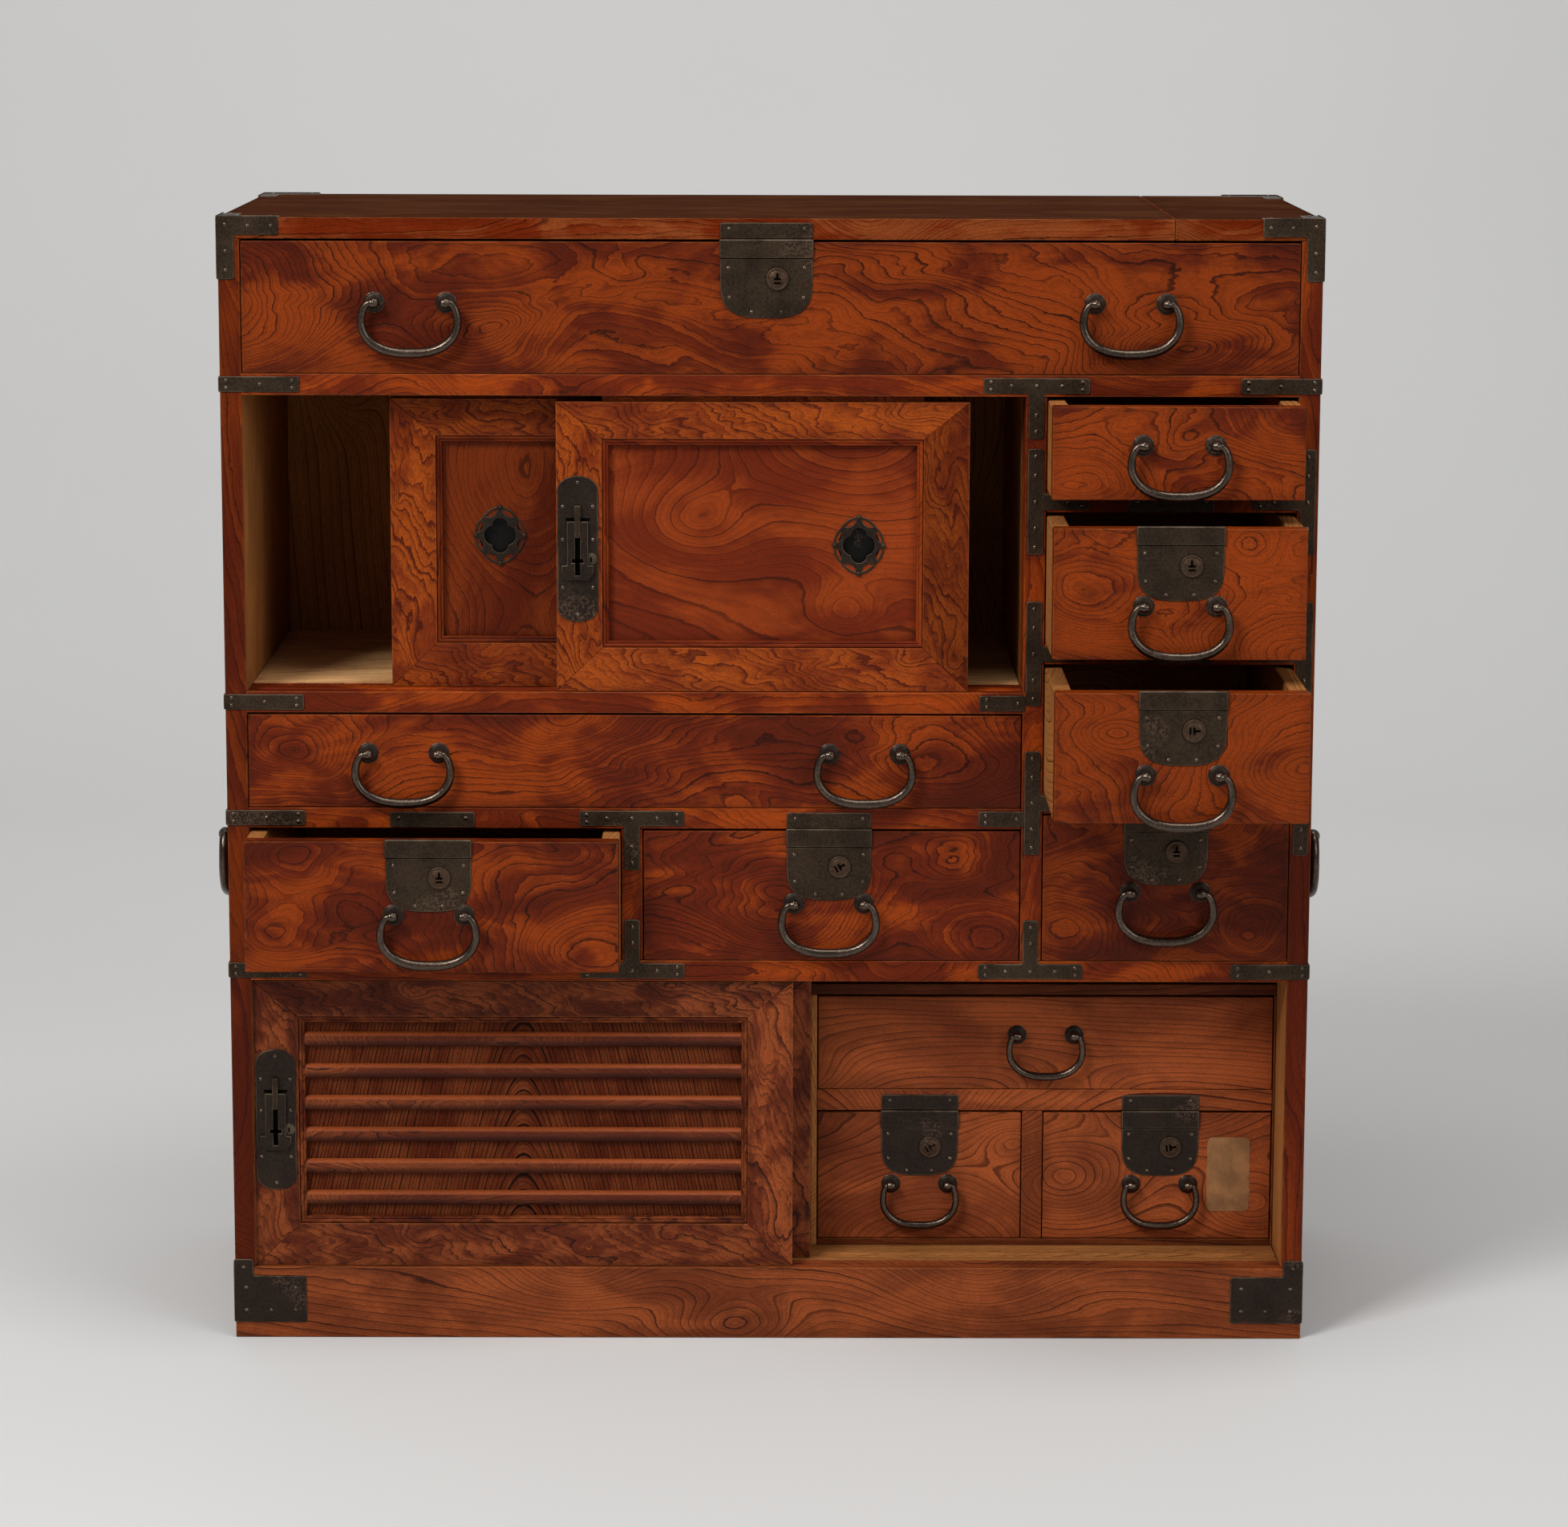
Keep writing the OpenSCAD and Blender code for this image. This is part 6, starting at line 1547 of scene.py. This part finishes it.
def bail(name, centre, across_way, face_out, width, pins, drop, waist, belly, start):
    """A forged bail: its bar swells from the eyes to the waist and on to the belly, with soft flats."""
    line = bail_line(width, pins, drop, waist, belly)
    share = line[:, 2]
    thick = np.where(share < 0.35, start + (waist - start) * share / 0.35,
                     waist + (belly - waist) * (share - 0.35) / 0.65)
    uneven = 0.994 + 0.006 * np.sin(np.arange(len(line)) * 1.9 + centre[0])
    points = np.array(centre) + line[:, :1] * across_way + line[:, 1:2] * Z
    shape = Shape()
    # Its rim value of 0.62 also paints shade on the bar where it looks down.
    drawn(shape, points, thick * uneven, face_out, 20, 0, 0.62, 0.018)
    shape.build(f"{name}_forged", name, "dark_iron", ["polished_iron"], name)


def bails():
    """The thirteen drawer bails and the two side bails."""
    for name, own in DRAWERS.items():
        low, high = mm_box(name)
        make = make_of(name)
        for handle, x, drop in own["bails"]:
            bail(handle, (x, low[1] - make["out"], high[2] - drop), X, -Y, **make["bail"])
    for name, way in (("side_handle_left", -1), ("side_handle_right", 1)):
        bail(name, (way * (SIDE + SIDE_PINS_OUT), 0, SIDE_PINS_Z), way * Y, way * X, **SIDE_BAIL)


def bulged(a, b, bulge, steps=6):
    """Points of a parabola from a to b that swells to the right of the way there; b is left out."""
    t = np.linspace(0, 1, steps, endpoint=False)[:, None]
    way = (b - a) / np.linalg.norm(b - a)
    return a + (b - a) * t + np.array([way[1], -way[0]]) * bulge * 4 * t * (1 - t)


def arc(centre, radius, start, end):
    """Points of a circle's arc, from a start to an end angle in degrees; the last is left out."""
    t = np.radians(np.linspace(start, end, 12, endpoint=False))
    return np.array(centre) + radius * np.stack([np.cos(t), np.sin(t)], 1)


# The eight corners of a finger pull's outline, in turn from its right
PULL_JOINTS = np.array([(0.80, 0), (0.57, 0.57), (0, 0.94), (-0.57, 0.57), (-0.80, 0), (-0.57, -0.57),
                        (0, -0.94), (0.57, -0.57)]) * 25.0


def lobed():
    """The opening of a pull's cup: four lobes, each a circle's arc, the side ones larger."""
    return np.concatenate([arc((5.0, 0), 7.9, -79.8, 79.8), arc((0, 7.8), 6.4, 0, 180),
                           arc((-5.0, 0), 7.9, 100.2, 259.8), arc((0, -7.8), 6.4, 180, 360)])


def finger_pull(shape, at, y):
    """A finger pull: an openwork plate with eight lens-shaped holes and a lobed opening, four studs, and the
    cup behind it."""
    plane = facing_front(y + PANEL_BACK, at)
    sides = list(zip(PULL_JOINTS, np.roll(PULL_JOINTS, -1, 0)))
    outline = np.concatenate([bulged(a, b, 2.0) for a, b in sides])
    holes = [lobed()]
    for a, b in sides:
        a, b = a * 0.965, b * 0.965
        p, q = a + (b - a) * 0.14, a + (b - a) * 0.86
        holes.append(np.concatenate([bulged(p, q, 0.9, 5), bulged(q, p, 3.0, 5)]))
    slab(shape, plane, outline, 0.0, PLATE, holes, ease=0.3, rim=0.25, finish=3)
    stud = [(2.1, PLATE - 0.1), (2.0, PLATE + 0.6), (1.2, PLATE + 1.1), (0, PLATE + 1.25)]
    for joint in PULL_JOINTS[::2]:
        turned(shape, plane, joint * 0.97, stud, 14, 0, 0.7)
    slab(shape, plane, circle(40) * CUP_R, -5.4, -0.15, [lobed()], ease=0.1, rim=0.1, finish=4)
    turned(shape, plane, (0, 0), [(CUP_R, -5.6), (CUP_R, -4.8), (7.0, -4.9), (0, -5.3)], 40, 4)


def door_lock(shape, at, y):
    """A sliding door's lock: the long plate with arched ends, its dark slots, nails and keyhole disc, and
    the stud and leaf that hold the hasp."""
    plane = facing_front(y, at)
    w, h = DOOR_PLATE
    t = np.linspace(0, np.pi, 17)
    arch = np.stack([w * np.cos(t), h - w * 0.7 + w * 0.7 * np.sin(t)], 1)
    slab(shape, plane, np.concatenate([arch, -arch]), 0.0, PLATE, ease=0.4, finish=3)
    nails(shape, plane, [(0, h - 5.6), (-12, 33.7), (12, 33.7), (-12, 7.4), (12, 7.4), (-12, -31),
                         (12, -31), (0, 5.6 - h)])
    # The slots and the keyhole are near-black patches on the plate: painted shade standing for the openings.
    for dark in ((-9.6, 22.5, 9.6, 25.0), SLOT, (-4.5, -10.9, 4.5, -7.7)):
        slab(shape, plane, oblong(*dark), PLATE - 0.3, PLATE + 0.06, radius=0.3, ease=0.03, rim=0.05,
             finish=2)
    disc = [(5, PLATE - 0.2), (4.9, PLATE + 0.5), (4.4, PLATE + 0.65), (0, PLATE + 0.65)]
    turned(shape, plane, (10.6, -7.9), disc, 24, 3, 1.0)
    slab(shape, plane, oblong(9.9, -10.4, 11.3, -6.2), PLATE, PLATE + 0.72, radius=0.5, ease=0.03, rim=0.05,
         finish=2)
    leaf = PLATE + 3.4
    slab(shape, plane, oblong(-1.6, 9.6, 1.6, 13), PLATE, leaf)
    slab(shape, plane, oblong(-2.3, 9.3, 2.3, 35), leaf - 0.05, leaf + 1.0, radius=1.2, ease=0.4, rim=0.5)
    slab(shape, plane, oblong(-2.3, 33, 2.3, 35), PLATE, leaf)


def hasp(name, at, y):
    """The hasp that slides on a door's lock plate: a slotted bar with a broad foot."""
    shape = Shape()
    plane = facing_front(y, at)
    outline = [(8.5, -12.8), (8.5, 22.3), (-8.5, 22.3), (-8.5, -12.8), (-12.8, -12.8), (-12.8, -19),
               (-8.5, -24.8), (8.5, -24.8), (12.8, -19), (12.8, -12.8)]
    x0, z0, x1, z1 = SLOT
    cross = [(x0, z0), (x1, z0), (x1, -10.7), (4.5, -10.7), (4.5, -7.9), (x1, -7.9), (x1, z1), (x0, z1),
             (x0, -7.9), (-4.5, -7.9), (-4.5, -10.7), (x0, -10.7)]
    slab(shape, plane, outline, 2.0, 4.4, [cross], radius=0.9, ease=0.6, rim=0.4)
    shape.build(f"{name}_forged", name, "dark_iron", ["darker_iron"], name)


def door_irons():
    """The irons of the sliding doors, and their hasps."""
    finishes = ["forged_iron", "polished_iron", "hole_shade", "darker_iron", "dark_cup"]
    for door_name, lock_at, pull_at in (("upper_front_door", UPPER_LOCK_AT, FRONT_PULL_AT),
                                        ("upper_rear_door", None, REAR_PULL_AT),
                                        ("lower_front_door", LOWER_LOCK_AT, None)):
        y = mm_box(door_name)[0][1]
        shape = Shape()
        if lock_at:
            door_lock(shape, lock_at, y)
        if pull_at:
            finger_pull(shape, pull_at, y)
        shape.build(f"{door_name}_ironwork", door_name, "dark_iron", finishes, f"{door_name}_irons")
    for level, at in (("upper", UPPER_LOCK_AT), ("lower", LOWER_LOCK_AT)):
        hasp(f"{level}_door_hasp", at, mm_box(f"{level}_front_door")[0][1])


# The paper slip

def slip():
    """A blank slip pasted on the right inner drawer: a sheet on a grid, lifted by small waves and more at
    its lower left corner, with a thickness. It narrows at its ends by a high power of the distance from
    its middle, which rounds its corners."""
    x0, z0, x1, z1 = SLIP
    middle = 380.3
    across, up = np.meshgrid(np.linspace(x0, x1, 25), np.linspace(z0, z1, 41))
    u = (across - x0) / (x1 - x0)
    v = (up - z0) / (z1 - z0)
    lift = 0.35 + 0.12 * np.sin(u * 9 + v * 5) + 0.1 * np.sin(v * 17) + 1.3 * np.clip(0.35 - u - v, 0, 1)
    tear = 0.35 * np.sin(up * 0.9) * (u > 0.97) + 0.3 * np.sin(across * 1.3) * (v < 0.02)
    narrower = 0.16 * np.abs(2 * v - 1) ** 16 + 0.02 * np.sin(v * 11) ** 2
    across = middle + (across - middle) * (1 - narrower)
    plane = facing_front(mm_box("inner_drawer_right")[0][1])
    flat = np.stack([across + tear, up + tear], -1).reshape(-1, 2)
    front = plane.lift(flat, lift.ravel())
    back = plane.lift(flat, lift.ravel() - SLIP_T)
    rows, columns = lift.shape
    ids = np.arange(rows * columns).reshape(rows, columns)
    quads = np.stack([ids[:-1, :-1], ids[:-1, 1:], ids[1:, 1:], ids[1:, :-1]], -1).reshape(-1, 4)
    total = rows * columns
    ring = np.concatenate([ids[0, :-1], ids[:-1, -1], ids[-1, :0:-1], ids[:0:-1, 0]])
    ahead = np.roll(ring, -1)
    edge = np.stack([ring + total, ahead + total, ahead, ring], 1)
    shape = Shape()
    shape.add(np.concatenate([front, back]), [(quads, -Y), (quads[:, ::-1] + total, Y), (edge, -Y)])
    shape.build("drawer_slip", "inner_drawer_right", "aged_paper", ["aged_slip"])


# Studio: the camera's place, its yaw, pitch and roll in radians and its lens; and the lamps, each with its
# place, its target, its width and height, and its power

CAMERA_PLACE = (-0.000155, -3.91294, 1.118)
CAMERA_TURN = (0.0031189, 0.1701903, -0.0026942)
CAMERA_LENS = 108.58
LAMPS = {
    "key_lamp": ((-2.0, -2.8, 3.2), (0.0, 0.0, 0.5), (1.3, 1.3), 118.0),
    "fill_lamp": ((2.6, -3.2, 1.9), (0.0, 0.0, 0.5), (1.8, 1.8), 34.0),
    "top_lamp": ((0.3, -0.9, 3.4), (0.0, 0.0, 0.4), (2.2, 1.2), 40.0),
    "backdrop_lamp": ((0.0, 1.6, 3.4), (0.0, 4.2, 1.4), (4.0, 1.0), 42.0),
}


def placed(name, data, right, up, back, place):
    """A camera or lamp at a place, turned so that its own X, Y and Z point right, up and back."""
    holder = bpy.data.objects.new(name, data)
    turn = np.stack([right, up, back], 1).tolist()
    holder.matrix_world = Matrix([[*row, at] for row, at in zip(turn, place)] + [[0, 0, 0, 1]])
    bpy.context.scene.collection.objects.link(holder)
    return holder


def camera():
    """The camera at the photographed angle: turned by its yaw, tilted down by its pitch, and rolled."""
    data = bpy.data.cameras.new("front_camera")
    data.lens = CAMERA_LENS
    data.sensor_width = 36.0
    data.clip_end = 60.0
    yaw, pitch, roll = CAMERA_TURN
    ahead = np.array([math.sin(yaw) * math.cos(pitch), math.cos(yaw) * math.cos(pitch), -math.sin(pitch)])
    level = np.array([math.cos(yaw), -math.sin(yaw), 0.0])
    down = np.cross(ahead, level)
    right = math.cos(roll) * level + math.sin(roll) * down
    down = math.cos(roll) * down - math.sin(roll) * level
    bpy.context.scene.camera = placed("front_camera", data, right, -down, -ahead, CAMERA_PLACE)


def backdrop():
    """Floor and backdrop in one sheet, just under the chest: flat, then a quarter circle up, then straight,
    carried along X."""
    t = np.linspace(0, np.pi / 2, 17)
    near, start, bend, top, half = -7.0, 2.2, 2.0, 6.0, 8.0
    curve = np.stack([start + bend * np.sin(t), bend - bend * np.cos(t)], 1)
    line = np.concatenate([[(near, 0.0)], curve, [(start + bend, top)]]) - (0, 0.0004)
    points = np.column_stack([np.tile([-half, half], len(line)), np.repeat(line, 2, 0)])
    ids = np.arange(len(line) - 1) * 2
    quads = np.stack([ids, ids + 1, ids + 3, ids + 2], 1)
    mesh = bpy.data.meshes.new("studio_sheet")
    mesh.from_pydata(points.tolist(), [], quads.tolist())
    mesh.polygons.foreach_set("use_smooth", np.ones(len(quads), bool))
    mesh.materials.append(finish("studio_floor"))
    sheet = bpy.data.objects.new("studio_sheet", mesh)
    bpy.context.scene.collection.objects.link(sheet)


def softbox(name, place, target, area, power):
    """A soft rectangular lamp that looks from its place at a target."""
    data = bpy.data.lights.new(name, "AREA")
    data.shape = "RECTANGLE"
    data.size, data.size_y = area
    data.energy = power
    back = np.array(place) - np.array(target)
    back /= np.linalg.norm(back)
    side = np.cross(Z, back)
    side /= np.linalg.norm(side)
    placed(name, data, side, np.cross(back, side), back, place)


def daylight():
    """Even light from all round. Where the camera sees past the sheet, it is as pale as the sheet."""
    world = bpy.data.worlds.new("studio_light")
    nodes = Nodes(world)
    strength = nodes.node("ShaderNodeLightPath")[0] * 0.36 + 0.24
    light = nodes.node("ShaderNodeBackground", None, {0: (0.96, 0.97, 1.0, 1.0), 1: strength})[0]
    nodes.node("ShaderNodeOutputWorld", None, {0: light})
    bpy.context.scene.world = world


def studio():
    """Camera, sheet, lamps and view transform."""
    camera()
    backdrop()
    daylight()
    for name, made in LAMPS.items():
        softbox(name, *made)
    bpy.context.scene.view_settings.view_transform = "Standard"


class CHEST_OT_case(Operator):
    """Makes the case: its frame, shell and inner cabinet"""

    bl_idname = "chest.case"
    bl_label = "Case"

    def execute(self, context):
        case_frame()
        case_shell()
        inner_cabinet()
        return {"FINISHED"}


class CHEST_OT_drawers(Operator):
    """Makes the eleven drawers"""

    bl_idname = "chest.drawers"
    bl_label = "Drawers"

    def execute(self, context):
        for name in DRAWERS:
            drawer(name)
        return {"FINISHED"}


class CHEST_OT_doors(Operator):
    """Makes the four sliding doors"""

    bl_idname = "chest.doors"
    bl_label = "Sliding doors"

    def execute(self, context):
        # Painted light and shade: the upper front door's right stile is darkened most, the rear door is
        # darker as a whole, and the lower doors' right stiles are brightened.
        door("upper_front_door", UPPER_DOOR, PANEL_FIGURE, (0.84, 0.56, 0.9, 0.86), hole=FRONT_PULL_AT,
             warm=0.03)
        door("upper_rear_door", UPPER_DOOR, REAR_PANEL_FIGURE, (1.36, 1.29, 1.29, 1.16),
             hole=REAR_PULL_AT, light=0.62, grain="z")
        for name in ("lower_front_door", "lower_rear_door"):
            door(name, LOWER_DOOR, SLAT_GROUND_FIGURE, (1.0, 1.25, 1.05, 1.0), slatted=True, grain="z")
        return {"FINISHED"}


class CHEST_OT_irons(Operator):
    """Makes the irons of the case, drawers and doors, with the keyhole discs and the hasps"""

    bl_idname = "chest.irons"
    bl_label = "Irons"

    def execute(self, context):
        case_irons()
        for name in DRAWERS:
            drawer_irons(name)
        door_irons()
        return {"FINISHED"}


class CHEST_OT_bails(Operator):
    """Makes the bails"""

    bl_idname = "chest.bails"
    bl_label = "Bails"

    def execute(self, context):
        bails()
        return {"FINISHED"}


class CHEST_OT_slip(Operator):
    """Makes the blank slip on an inner drawer"""

    bl_idname = "chest.slip"
    bl_label = "Slip"

    def execute(self, context):
        slip()
        return {"FINISHED"}


class CHEST_OT_studio(Operator):
    """Makes the camera, floor, backdrop and lamps"""

    bl_idname = "chest.studio"
    bl_label = "Studio"

    def execute(self, context):
        studio()
        return {"FINISHED"}


STEPS = (CHEST_OT_studio, CHEST_OT_case, CHEST_OT_drawers, CHEST_OT_doors, CHEST_OT_irons, CHEST_OT_bails,
         CHEST_OT_slip)


class CHEST_PT_panel(Panel):
    """Lists the chest's sizes, colours and steps"""

    bl_idname = "CHEST_PT_panel"
    bl_label = "Merchant Chest"
    bl_space_type = "VIEW_3D"
    bl_region_type = "UI"
    bl_category = "Chest"

    def draw(self, context):
        for group in (context.scene.chest_sizes, context.scene.chest_colours):
            column = self.layout.column()
            for name in group.__annotations__:
                column.prop(group, name)
        for step in STEPS:
            self.layout.operator(step.bl_idname)


CLASSES = (ChestSizes, ChestColours, *STEPS, CHEST_PT_panel)


def register():
    """Registers the classes and the scene's property groups."""
    for each in CLASSES:
        bpy.utils.register_class(each)
    bpy.types.Scene.chest_sizes = PointerProperty(type=ChestSizes)
    bpy.types.Scene.chest_colours = PointerProperty(type=ChestColours)


def unregister():
    """Takes the property groups and classes out again."""
    del bpy.types.Scene.chest_sizes
    del bpy.types.Scene.chest_colours
    for each in reversed(CLASSES):
        bpy.utils.unregister_class(each)


def main():
    """Registers the add-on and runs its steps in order."""
    register()
    for step in STEPS:
        group, name = step.bl_idname.split(".")
        getattr(getattr(bpy.ops, group), name)()


if __name__ == "__main__":
    main()
